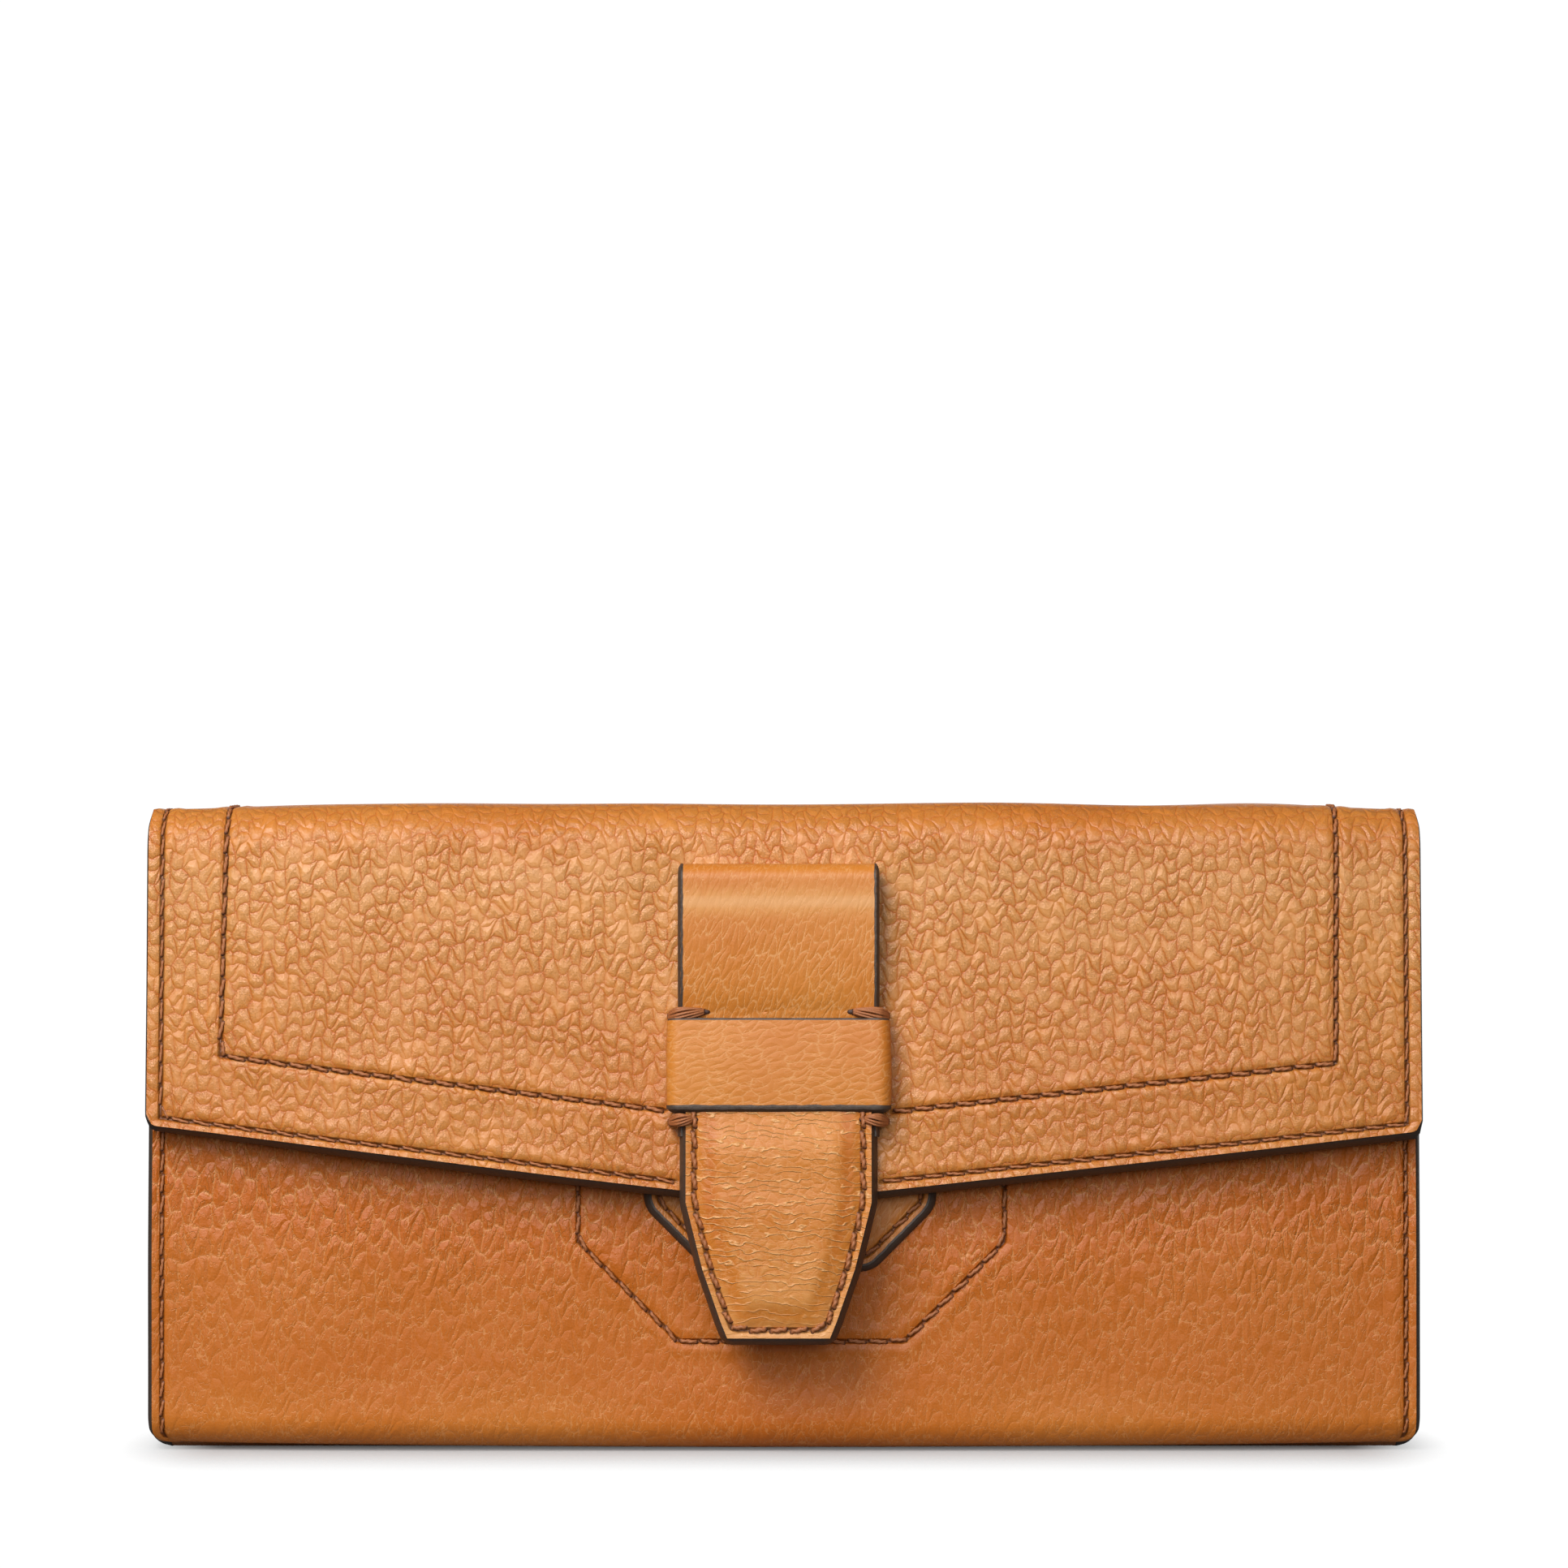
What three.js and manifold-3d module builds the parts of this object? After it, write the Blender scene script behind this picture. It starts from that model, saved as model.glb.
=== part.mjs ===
// A long leather wallet: one leather body folded from front to back, a flap with a strap and a padded tongue,
// a hidden snap, gusseted sides, card slots and a zip pocket.
// Millimetres, +Z up, the flap faces -Y. The origin is the middle of the flat base.
// Each subcomponent is one closed solid in one named mesh. A group holds the meshes that move together.

import * as THREE from "three";
import { mergeVertices } from "three/addons/utils/BufferGeometryUtils.js";
import Module from "manifold-3d";

const wasm = await Module();
wasm.setup();

// ---------- driving dimensions ----------

const bodyHalfWidth = 95.0;
const flapHalfWidth = 95.3;
const height = 97.0;
const baseHalfDepth = 6.5;
const backY = 10.5;
const baseRadius = 4.0; // the fold from the base to the back
const shoulderRadius = 6.0; // the fold from the back to the top
const browRadius = 7.0; // the fold from the top to the flap
const browY = -4.73;
const browSweep = 84.5; // degrees of the fold at the flap, which leaves the flap leaning out
const flapLean = 90 - browSweep;
const foldRelief = 12; // degrees left free on each side of the back fold line
const browFoldAt = 42.25; // degrees from the top to the front fold line
const browRelief = 10.5;
const toeRadius = 4.5; // the fold from the base to the front
const toeRelief = 20; // degrees left free where the front panel turns on the base
const frontLean = 4.2;
const frontBendRadius = 80;
const frontBendZ = 26;
const frontTop = 84;

// Layers, as depths below the outer surface. A negative depth stands proud of it.
const leather = [0, 1.3];
const filler = [1.4, 1.9];
const lining = [2.0, 2.7];
const pocketLayer = [2.9, 3.5];
const patchLayer = [-1.1, -0.1];
const seamProud = [-0.35, -0.05];
const patchSeamProud = [-1.45, -1.15];
const seamHalfWidth = 0.3;
const seamInset = 2.3;

// The flap's lower edge is a shallow V.
const flapTipZ = 37.0;
const flapSlope = 0.108;
const flapCorner = 1.6;
const innerSeamX = 83.5;
const innerSeamCornerZ = 58.7;
const innerSeamEnd = [17.1, 51.1];

// The strap, its keeper and the tongue stand on the flap's face, about a point at this height.
const strapZ = 58.2;
const strapHalfWidth = 15.0;
const strapThickness = 1.1;
const strapUnderN = 0.75; // how far the strap's middle stands off the flap, behind the loop
const strapKeptN = 1.95; // and under the keeper
const strapStartS = 7.9;
const strapFoldS = 27.6;
const strapFoldRadius = 1.55;
const keeperHalfWidth = 16.65;
const keeperHalfHeight = 6.7;
const bartackX = 13.7;
const bartackRadius = 0.5;
const bartackLength = 4.2;
const bartackRows = [
  { row: "upper", n: 3.35, s: 7.5 },
  { row: "lower", n: 3.15, s: -7.9 },
];
const tongueHalfWidth = 14.75;
const tongueTopZ = 48.5;
const tongueTipZ = 16.85;

// The snap that closes the flap, behind the strap.
const snapZ = 49.0;
const snapRadius = 6.0;
const snapPostRadius = 1.5;
const snapHoleRadius = 1.9;
const snapWindowRadius = 8.0;
const patchHalfWidth = 21.9;
const patchChamfer = 9.6;
const octagonHalfWidth = 31.65;
const octagonChamfer = 14.85;

// The inside: a zip pocket against the back, card slots in front of it and a slip pocket on the front.
const pocketWallY = 3.25;
const pocketWallThickness = 0.7;
const pocketTop = 70;
const cardSlotHeights = { top: 66, middle: 58, bottom: 50 };
const cardSlotPitch = 0.8;
const cardSlotThickness = 0.6;
const cardSlotHalfSpan = 87.8;
const cardSlotBottom = 4;
const cardColumnGap = 1;
const slipPocketHalfWidth = 82;
const gussetThickness = 0.7;
const gussetSections = [
  { z: 4.5, tipX: 90.0 },
  { z: 12, tipX: 87.0 },
  { z: 32, tipX: 84.5 },
  { z: 49, tipX: 84.0 },
  { z: 82, tipX: 84.0 },
];

// The zip runs along the mouth of the back pocket.
const zipY = 5.7;
const zipHalfLength = 75;
const tapeOffset = 1.775; // from the chain's middle to each tape's middle
const tapeThickness = 0.35;
const tapeHalfLength = 79;
const tapeBottomZ = 64;
const tapeTopZ = 70.9;
const combOffset = 1.25; // from the chain's middle to the strip that joins each row of teeth
const combThickness = 0.5;
const toothPitch = 2.0;
const toothWidth = 0.8;
const toothReach = 1.4;
const teethBottomZ = 70.0;
const teethTopZ = 71.5;
const stopSize = [1.2, 3.0, 1.8];
const stopX = 76.5;
const stopZ = 70.75;
const sliderX = 70;
const sliderHalfLength = 4.5;
const sliderPlateZ = [71.8, 73.0];
const sliderUnderSize = [9, 2.8, 1.2];
const sliderUnderZ = 68.8;
const bridgeHalfWidth = 0.6;
const pullerPivotZ = 74.2;
const pullerThickness = 0.8;

// ---------- materials ----------

const finish = (color, roughness, metalness = 0) =>
  new THREE.MeshStandardMaterial({ color, roughness, metalness });

const grainLeather = finish(0xd68a42, 0.5);
const smoothLeather = finish(0xd08a4c, 0.45);
const liningLeather = finish(0xb98552, 0.8);
const board = finish(0x9a8f80, 0.9);
const foam = finish(0xe6dcc8, 0.95);
const seamThread = finish(0x8a4a22, 0.7);
const zipTape = finish(0xa8703a, 0.9);
const brass = finish(0xc9a35c, 0.3, 1);

// ---------- outlines ----------

const rad = THREE.MathUtils.degToRad;

// Points of an arc, its angles in degrees from the first axis towards the second.
function arc([u, v], radius, from, to, steps) {
  return Array.from({ length: steps + 1 }, (_, i) => {
    const angle = rad(from + ((to - from) * i) / steps);
    return [u + radius * Math.cos(angle), v + radius * Math.sin(angle)];
  });
}

// The line moved sideways to its left by a distance, with mitred corners.
function offsetLine(points, distance, closed = false) {
  const count = points.length;
  const normalOf = (i) => {
    const a = points[(i + count) % count];
    const b = points[(i + 1) % count];
    const length = Math.hypot(b[0] - a[0], b[1] - a[1]);
    return [-(b[1] - a[1]) / length, (b[0] - a[0]) / length];
  };
  return points.map(([u, v], i) => {
    const before = normalOf(closed || i > 0 ? i - 1 : 0);
    const after = normalOf(closed || i < count - 1 ? i : count - 2);
    const scale = distance / (1 + before[0] * after[0] + before[1] * after[1]);
    return [u + scale * (before[0] + after[0]), v + scale * (before[1] + after[1])];
  });
}

// The outline between two offsets of a line.
function band(points, [near, far]) {
  return [...offsetLine(points, near), ...offsetLine(points, far).reverse()];
}

const mirrored = (points) => points.map(([x, other]) => [-x, other]);

function box2(halfWidth, low, top) {
  return [
    [-halfWidth, low],
    [halfWidth, low],
    [halfWidth, top],
    [-halfWidth, top],
  ];
}

// An eight-sided outline about the snap.
function octagon(halfWidth, chamfer) {
  const short = halfWidth - chamfer;
  return [
    [-short, snapZ - halfWidth],
    [short, snapZ - halfWidth],
    [halfWidth, snapZ - short],
    [halfWidth, snapZ + short],
    [short, snapZ + halfWidth],
    [-short, snapZ + halfWidth],
    [-halfWidth, snapZ + short],
    [-halfWidth, snapZ - short],
  ];
}

// ---------- solids ----------

function solid(geometry) {
  geometry.deleteAttribute("normal");
  geometry.deleteAttribute("uv");
  const merged = mergeVertices(geometry, 1e-4);
  const mesh = new wasm.Mesh({
    numProp: 3,
    vertProperties: merged.attributes.position.array,
    triVerts: new Uint32Array(merged.index.array),
  });
  return new wasm.Manifold(mesh);
}

function geometryOf(manifold) {
  const mesh = manifold.getMesh();
  const geometry = new THREE.BufferGeometry();
  geometry.setAttribute("position", new THREE.BufferAttribute(mesh.vertProperties, 3));
  geometry.setIndex(new THREE.BufferAttribute(mesh.triVerts, 1));
  geometry.computeVertexNormals();
  return geometry;
}

function extrude(points, depth) {
  const shape = new THREE.Shape(points.map(([u, v]) => new THREE.Vector2(u, v)));
  return new THREE.ExtrudeGeometry(shape, { depth, bevelEnabled: false });
}

const axisX = new THREE.Vector3(1, 0, 0);
const axisY = new THREE.Vector3(0, 1, 0);
const axisZ = new THREE.Vector3(0, 0, 1);

// A prism along X, of an outline of [y, z] points.
function alongX(points, from, to) {
  const turn = new THREE.Matrix4().makeBasis(axisY, axisZ, axisX).setPosition(from, 0, 0);
  return solid(extrude(points, to - from).applyMatrix4(turn));
}

// A prism along Y, of an outline of [x, z] points.
function alongY(points, from, to) {
  const back = axisY.clone().negate();
  const turn = new THREE.Matrix4().makeBasis(axisX, axisZ, back).setPosition(0, to, 0);
  return solid(extrude(points, to - from).applyMatrix4(turn));
}

// A prism along Z, of an outline of [x, y] points.
function alongZ(points, from, to) {
  return solid(extrude(points, to - from).translate(0, 0, from));
}

function block(width, depth, tall, x, y, z) {
  return solid(new THREE.BoxGeometry(width, depth, tall).translate(x, y, z));
}

// A round pin or hole about a line that leaves the surface at [y, z], leaning up by an angle.
function pinThrough([y, z], lean, radius, halfLength) {
  const pin = new THREE.CylinderGeometry(radius, radius, 2 * halfLength, 24);
  return solid(pin.rotateX(rad(180 - lean)).translate(0, y, z));
}

// A solid with the same number of points in each level's anticlockwise outline, from the lowest level up.
function loft(levels) {
  const count = levels[0].points.length;
  const positions = levels.flatMap(({ z, points }) => points.flatMap(([x, y]) => [x, y, z]));
  const faces = [];
  for (let level = 0; level < levels.length - 1; level += 1) {
    for (let i = 0; i < count; i += 1) {
      const a = level * count + i;
      const b = level * count + ((i + 1) % count);
      faces.push(a, b, b + count, a, b + count, a + count);
    }
  }
  const cap = (level) => {
    const flat = levels[level].points.map(([x, y]) => new THREE.Vector2(x, y));
    return THREE.ShapeUtils.triangulateShape(flat, []).map((t) => t.map((i) => i + level * count));
  };
  cap(0).forEach(([a, b, c]) => faces.push(a, c, b));
  cap(levels.length - 1).forEach(([a, b, c]) => faces.push(a, b, c));
  const geometry = new THREE.BufferGeometry();
  geometry.setAttribute("position", new THREE.Float32BufferAttribute(positions, 3));
  geometry.setIndex(faces);
  return solid(geometry);
}

// ---------- the outer surface, as side profiles of [y, z] points with the outside on the right ----------

const shoulderCentre = [backY - shoulderRadius, height - shoulderRadius];
const browCentre = [browY, height - browRadius];
const toeCentre = [-baseHalfDepth, toeRadius];
const frontY = toeCentre[0] - toeRadius;
const backFoldAngle = 45;

const backPath = [
  [-baseHalfDepth, 0],
  ...arc([baseHalfDepth, baseRadius], baseRadius, -90, 0, 6),
  ...arc(shoulderCentre, shoulderRadius, 0, backFoldAngle - foldRelief, 4),
];

const spinePath = [
  ...arc(shoulderCentre, shoulderRadius, backFoldAngle + foldRelief, 90, 4),
  ...arc(browCentre, browRadius, 90, 90 + browFoldAt - browRelief, 4),
];

const flapStart = arc(browCentre, browRadius, 90 + browSweep, 90 + browSweep, 1)[0];
const flapY = (z) => flapStart[0] - Math.tan(rad(flapLean)) * (flapStart[1] - z);

const flapPath = [
  ...arc(browCentre, browRadius, 90 + browFoldAt + browRelief, 90 + browSweep, 4),
  [flapY(flapTipZ - 5), flapTipZ - 5],
];

const frontBend = arc(
  [frontY + frontBendRadius, frontBendZ],
  frontBendRadius,
  180 - frontLean,
  180,
  3,
);
const frontSurfaceY = (z) => frontBend[0][0] + Math.tan(rad(frontLean)) * (z - frontBend[0][1]);

const frontPath = [
  [frontSurfaceY(frontTop), frontTop],
  ...frontBend,
  ...arc(toeCentre, toeRadius, 180, 270 - toeRelief, 10),
];

// ---------- the scene graph: one group for each body that moves ----------

const wallet = new THREE.Group();
const [back, topSpine, flap, tongue, front, zipSlider, zipPuller] = [
  "back",
  "top_spine",
  "flap",
  "tongue",
  "front_panel",
  "zip_slider",
  "zip_puller",
].map((name) => {
  const group = new THREE.Group();
  group.name = name;
  wallet.add(group);
  return group;
});

function piece(name, shape, material, parent) {
  const mesh = new THREE.Mesh(shape.isBufferGeometry ? shape : geometryOf(shape), material);
  mesh.name = name;
  parent.add(mesh);
  return mesh;
}

// A layer of the body, cut to an outline of [x, z] points where one is given.
function layer(path, depths, halfWidth, outline = null) {
  const sheet = alongX(band(path, depths), -halfWidth, halfWidth);
  return outline ? sheet.intersect(alongY(outline, -40, 40)) : sheet;
}

// A seam: the strip of a proud layer along a line of [x, z] points, between two depths in Y.
function seam(path, depths, line, fromY, toY) {
  const proud = alongX(band(path, depths), -flapHalfWidth, flapHalfWidth);
  return proud.intersect(alongY(band(line, [-seamHalfWidth, seamHalfWidth]), fromY, toY));
}

// A closed seam around an eight-sided outline.
function octagonSeam(depths, halfWidth, chamfer) {
  const ring = octagon(halfWidth, chamfer);
  const outside = alongY(offsetLine(ring, -seamHalfWidth, true), -40, 0);
  const inside = alongY(offsetLine(ring, seamHalfWidth, true), -41, 1);
  return layer(frontPath, depths, bodyHalfWidth).intersect(outside.subtract(inside));
}

const sides = [
  ["left", -1],
  ["right", 1],
];

// ---------- back: the base and back of the body ----------

function addBack() {
  piece("back_panel", layer(backPath, leather, bodyHalfWidth), grainLeather, back);
  piece("back_stiffener", layer(backPath, filler, bodyHalfWidth - 4), board, back);
  piece("back_lining", layer(backPath, lining, bodyHalfWidth), liningLeather, back);
  for (const [side, sign] of sides) {
    const x = sign * (bodyHalfWidth - seamInset);
    const line = [
      [x, baseRadius + 0.5],
      [x, height - shoulderRadius],
    ];
    piece(`back_thread_${side}`, seam(backPath, seamProud, line, backY - 1, backY + 1), seamThread, back);
  }
}

// ---------- top_spine: the strip of the body between the two fold lines ----------

function addTopSpine() {
  piece("spine_leather", layer(spinePath, leather, flapHalfWidth), grainLeather, topSpine);
  piece("spine_lining", layer(spinePath, lining, flapHalfWidth), liningLeather, topSpine);
  for (const [side, sign] of sides) {
    const x = sign * (flapHalfWidth - seamInset);
    const line = [
      [x, height - 10],
      [x, height + 2],
    ];
    piece(`spine_thread_${side}`, seam(spinePath, seamProud, line, -20, 20), seamThread, topSpine);
  }
}

// ---------- flap ----------

const flapEdgeZ = (x) => flapTipZ + flapSlope * Math.abs(x);

// The flap's front outline, its edges moved in by an inset.
function flapOutline(inset) {
  const halfWidth = flapHalfWidth - inset;
  const low = (x) => flapEdgeZ(x) + inset;
  const right = [
    [0, low(0)],
    [halfWidth - flapCorner, low(halfWidth - flapCorner)],
    [halfWidth, low(halfWidth) + flapCorner],
    [halfWidth, height + 2],
  ];
  return [...right, ...mirrored(right.slice(1)).reverse()];
}

const flapSnap = [flapY(snapZ), snapZ];

function addFlap() {
  const window = pinThrough(flapSnap, flapLean, snapWindowRadius, 6);
  const hole = pinThrough(flapSnap, flapLean, snapHoleRadius, 6);
  const boardOutline = flapOutline(4);
  piece("flap_leather", layer(flapPath, leather, flapHalfWidth, flapOutline(0)), grainLeather, flap);
  piece("flap_stiffener", layer(flapPath, filler, flapHalfWidth, boardOutline).subtract(window), board, flap);
  piece("flap_lining", layer(flapPath, lining, flapHalfWidth, flapOutline(0)).subtract(hole), liningLeather, flap);
  for (const [side, sign] of sides) {
    const edgeX = flapHalfWidth - seamInset;
    const edgeEnd = strapHalfWidth + 0.2;
    const edgeLine = [
      [sign * edgeX, height + 2],
      [sign * edgeX, flapEdgeZ(edgeX) + seamInset],
      [sign * edgeEnd, flapEdgeZ(edgeEnd) + seamInset],
    ];
    const innerLine = [
      [sign * innerSeamX, height + 2],
      [sign * innerSeamX, innerSeamCornerZ],
      [sign * innerSeamEnd[0], innerSeamEnd[1]],
    ];
    piece(`flap_edge_thread_${side}`, seam(flapPath, seamProud, edgeLine, -40, 0), seamThread, flap);
    piece(`flap_inner_thread_${side}`, seam(flapPath, seamProud, innerLine, -40, 0), seamThread, flap);
  }
}

// On the flap's face, n is the distance out from the face and s the distance up it from strapZ.
const flapFace = new THREE.Group();
flapFace.position.set(0, flapY(strapZ), strapZ);
flapFace.rotation.x = -rad(flapLean);
flap.add(flapFace);
const fromFace = (points) => points.map(([n, s]) => [-n, s]);

// The strap starts above the keeper, folds over at its top, and comes down through the keeper.
function strapLoop() {
  const centreline = fromFace([
    [strapUnderN, strapStartS],
    ...arc([strapUnderN + strapFoldRadius, strapFoldS], strapFoldRadius, 180, 0, 8),
    [3.6, 11],
    [strapKeptN, 7.2],
    [strapKeptN, -8.7],
  ]);
  const half = strapThickness / 2;
  return alongX(band(centreline, [-half, half]), -strapHalfWidth, strapHalfWidth);
}

// A rounded rectangle of [x, y] points.
function roundedBox(halfWidth, low, top, radius) {
  return [
    ...arc([halfWidth - radius, low + radius], radius, -90, 0, 5),
    ...arc([halfWidth - radius, top - radius], radius, 0, 90, 5),
    ...arc([-halfWidth + radius, top - radius], radius, 90, 180, 5),
    ...arc([-halfWidth + radius, low + radius], radius, 180, 270, 5),
  ];
}

function keeperBand() {
  const outer = roundedBox(keeperHalfWidth, -4.05, -0.15, 1.9);
  const inner = roundedBox(strapHalfWidth + 0.5, -2.85, -1.1, 0.8);
  const clear = alongZ(inner, -keeperHalfHeight - 1, keeperHalfHeight + 1);
  return alongZ(outer, -keeperHalfHeight, keeperHalfHeight).subtract(clear);
}

function addStrap() {
  piece("strap_loop", strapLoop(), smoothLeather, flapFace);
  piece("keeper", keeperBand(), smoothLeather, flapFace);
  for (const { row, n, s } of bartackRows) {
    for (const [side, sign] of sides) {
      const bar = new THREE.CapsuleGeometry(bartackRadius, bartackLength, 6, 10).rotateZ(Math.PI / 2);
      const bartack = piece(`bartack_${row}_${side}`, geometryOf(solid(bar)), seamThread, flapFace);
      bartack.position.set(sign * bartackX, -n, s);
    }
  }
}

// ---------- the snap: a socket in the flap and a stud in the front panel ----------

// A turned piece, its [radius, height] profile standing out from a surface point [y, z] that leans back.
function turned(profile) {
  const points = profile.map(([r, h]) => new THREE.Vector2(r, h));
  return geometryOf(solid(new THREE.LatheGeometry(points, 24)));
}

function snapGroup([y, z], lean, parent) {
  const group = new THREE.Group();
  group.position.set(0, y, z);
  group.rotation.x = rad(180 - lean);
  parent.add(group);
  return group;
}

const washerProfile = [
  [snapHoleRadius, -1.85],
  [snapRadius, -1.85],
  [snapRadius, -1.45],
  [snapHoleRadius, -1.45],
  [snapHoleRadius, -1.85],
];

function addSnapSocket() {
  const socket = [
    [0, -3.05],
    [3.2, -3.05],
    [3.2, -4.15],
    [snapRadius + 0.5, -4.15],
    [snapRadius + 0.5, -2.8],
    [snapPostRadius, -2.8],
    [snapPostRadius, -1.5],
    [0, -1.5],
  ];
  const group = snapGroup(flapSnap, flapLean, flap);
  piece("snap_socket", turned(socket), brass, group);
  piece("snap_socket_washer", turned(washerProfile), brass, group);
}

const frontSnap = [frontSurfaceY(snapZ), snapZ];

function addSnapStud() {
  const stud = [
    [0, -1.8],
    [snapPostRadius, -1.8],
    [snapPostRadius, 1.2],
    [snapRadius, 1.2],
    [snapRadius, 1.7],
    [2.4, 1.7],
    [2.4, 2.7],
    [0, 2.7],
  ];
  const group = snapGroup(frontSnap, frontLean, front);
  piece("snap_stud", turned(stud), brass, group);
  piece("snap_stud_washer", turned(washerProfile), brass, group);
}

// ---------- tongue: the padded end of the strap ----------

const tongueBow = 8; // degrees that the tongue bends in, below the flap's edge
const tongueBowRadius = 30;
const tongueBowZ = 38.5;
const tongueGap = 0.2;

// The tongue's back face, from its top down.
function tonguePath() {
  const start = [flapY(tongueBowZ) - tongueGap, tongueBowZ];
  const top = [flapY(tongueTopZ) - tongueGap, tongueTopZ];
  const from = 180 - flapLean;
  const centre = [
    start[0] - tongueBowRadius * Math.cos(rad(from)),
    start[1] - tongueBowRadius * Math.sin(rad(from)),
  ];
  const bow = arc(centre, tongueBowRadius, from, from + tongueBow, 5);
  const [endY, endZ] = bow.at(-1);
  const drop = endZ - tongueTipZ + 2;
  return [top, ...bow, [endY + Math.tan(rad(tongueBow - flapLean)) * drop, endZ - drop]];
}

const tongueEdge = [
  [tongueHalfWidth, tongueTopZ + 5],
  [tongueHalfWidth, 37.7],
  [12.3, 28.0],
  [9.6, 20.3],
  [8.2, tongueTipZ],
];
const tongueLoop = [...tongueEdge, ...mirrored(tongueEdge).reverse()];

function addTongue() {
  const path = tonguePath();
  const outline = (inset) => offsetLine(tongueLoop, -inset, true);
  const cut = (depths, inset) => layer(path, depths, tongueHalfWidth + 1, outline(inset));
  const belowTop = alongY(box2(20, 0, tongueTopZ - 4), -40, 0);
  const aboveTop = alongY(box2(20, 0, tongueTopZ - 3.7), -40, 0);
  const recess = cut([-2.5, -1.0], 2.7).intersect(aboveTop);
  piece("tongue_backing", cut([-1.0, 0], 0), smoothLeather, tongue);
  piece("tongue_pad", cut([-2.3, -1.2], 3).intersect(belowTop), foam, tongue);
  piece("tongue_face", cut([-3.2, -1.1], 0).subtract(recess), smoothLeather, tongue);
  const stitch = offsetLine(tongueLoop, -2, true).slice(0, 2 * tongueEdge.length);
  piece("tongue_thread", seam(path, [-3.55, -3.25], stitch, -40, 0), seamThread, tongue);
}

// ---------- front_panel ----------

function addFront() {
  const hole = pinThrough(frontSnap, frontLean, snapHoleRadius, 6);
  const window = pinThrough(frontSnap, frontLean, snapWindowRadius, 6);
  const sheet = layer(frontPath, leather, bodyHalfWidth).subtract(hole);
  const fillerOutline = box2(bodyHalfWidth - 4, 8, frontTop - 2);
  const reinforcement = layer(frontPath, filler, bodyHalfWidth, fillerOutline).subtract(window);
  const patch = layer(frontPath, patchLayer, bodyHalfWidth, octagon(patchHalfWidth, patchChamfer));
  const slipOutline = box2(slipPocketHalfWidth, 8, pocketTop);
  piece("front_leather", sheet, grainLeather, front);
  piece("front_reinforcement", reinforcement, board, front);
  piece("front_lining", layer(frontPath, lining, bodyHalfWidth), liningLeather, front);
  piece("slip_pocket", layer(frontPath, pocketLayer, slipPocketHalfWidth, slipOutline), liningLeather, front);
  piece("closure_patch", patch.subtract(hole), smoothLeather, front);
}

function addFrontSeams() {
  const x = bodyHalfWidth - seamInset;
  const top = frontTop - seamInset;
  const line = [
    [x, toeRadius + 0.5],
    [x, top],
    [-x, top],
    [-x, toeRadius + 0.5],
  ];
  const patchSeamHalfWidth = patchHalfWidth - 2.2;
  const patchSeamChamfer = patchChamfer - 1.3;
  piece("front_thread", seam(frontPath, seamProud, line, -40, 0), seamThread, front);
  piece("octagon_thread", octagonSeam(seamProud, octagonHalfWidth, octagonChamfer), seamThread, front);
  piece("patch_thread", octagonSeam(patchSeamProud, patchSeamHalfWidth, patchSeamChamfer), seamThread, front);
}

// ---------- the inside ----------

function addPocketWall() {
  const half = pocketWallThickness / 2;
  const flangeY = backY - lining[1] - 0.1 - half;
  const right = [
    [88.6, pocketWallY],
    [91.7, flangeY],
    [bodyHalfWidth, flangeY],
  ];
  const centreline = [...mirrored(right).reverse(), ...right];
  const outline = [
    [-96, 4.2],
    [-89.5, 4.2],
    [-89.5, 3],
    [89.5, 3],
    [89.5, 4.2],
    [96, 4.2],
    [96, pocketTop],
    [-96, pocketTop],
  ];
  const wall = alongZ(band(centreline, [-half, half]), 2, pocketTop + 1);
  piece("pocket_wall", wall.intersect(alongY(outline, 0, 20)), liningLeather, back);
}

function addCardSlots() {
  const rearFace = pocketWallY - pocketWallThickness / 2 - 0.2;
  Object.entries(cardSlotHeights).forEach(([row, top], i) => {
    const y = rearFace - i * cardSlotPitch - cardSlotThickness / 2;
    const tall = top - cardSlotBottom;
    const z = (top + cardSlotBottom) / 2;
    const wide = cardSlotHalfSpan - cardColumnGap / 2;
    for (const [side, sign] of sides) {
      const x = sign * (cardSlotHalfSpan - wide / 2);
      const slot = block(wide, cardSlotThickness, tall, x, y, z);
      piece(`card_slot_${side}_${row}`, slot, smoothLeather, back);
    }
  });
}

// A side gusset folds inwards in a V between the back and the front.
function addGussets() {
  const half = gussetThickness / 2;
  const rearY = 6.5;
  const bendX = 92.5;
  const endX = bodyHalfWidth - 0.1;
  const inside = lining[1] / Math.cos(rad(frontLean)) + 0.2 + half;
  for (const [side, sign] of sides) {
    const levels = gussetSections.map(({ z, tipX }) => {
      const panelY = z < frontBend[0][1] ? frontY : frontSurfaceY(z);
      const foreY = panelY + inside;
      const line = [
        [endX, rearY],
        [bendX, rearY],
        [bendX, 1.0],
        [tipX, (1.0 + foreY) / 2],
        [bendX, foreY],
        [endX, foreY],
      ];
      const points = band(line, [-half, half]);
      return { z, points: sign > 0 ? points : mirrored(points).reverse() };
    });
    piece(`gusset_${side}`, loft(levels), liningLeather, back);
  }
}

// ---------- the zip ----------

const zipRows = [
  ["front", -1],
  ["back", 1],
];

function addZipTapes() {
  const tall = tapeTopZ - tapeBottomZ;
  const z = (tapeTopZ + tapeBottomZ) / 2;
  for (const [row, sign] of zipRows) {
    const tape = block(2 * tapeHalfLength, tapeThickness, tall, 0, zipY + sign * tapeOffset, z);
    piece(`zip_tape_${row}`, tape, zipTape, back);
  }
}

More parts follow.
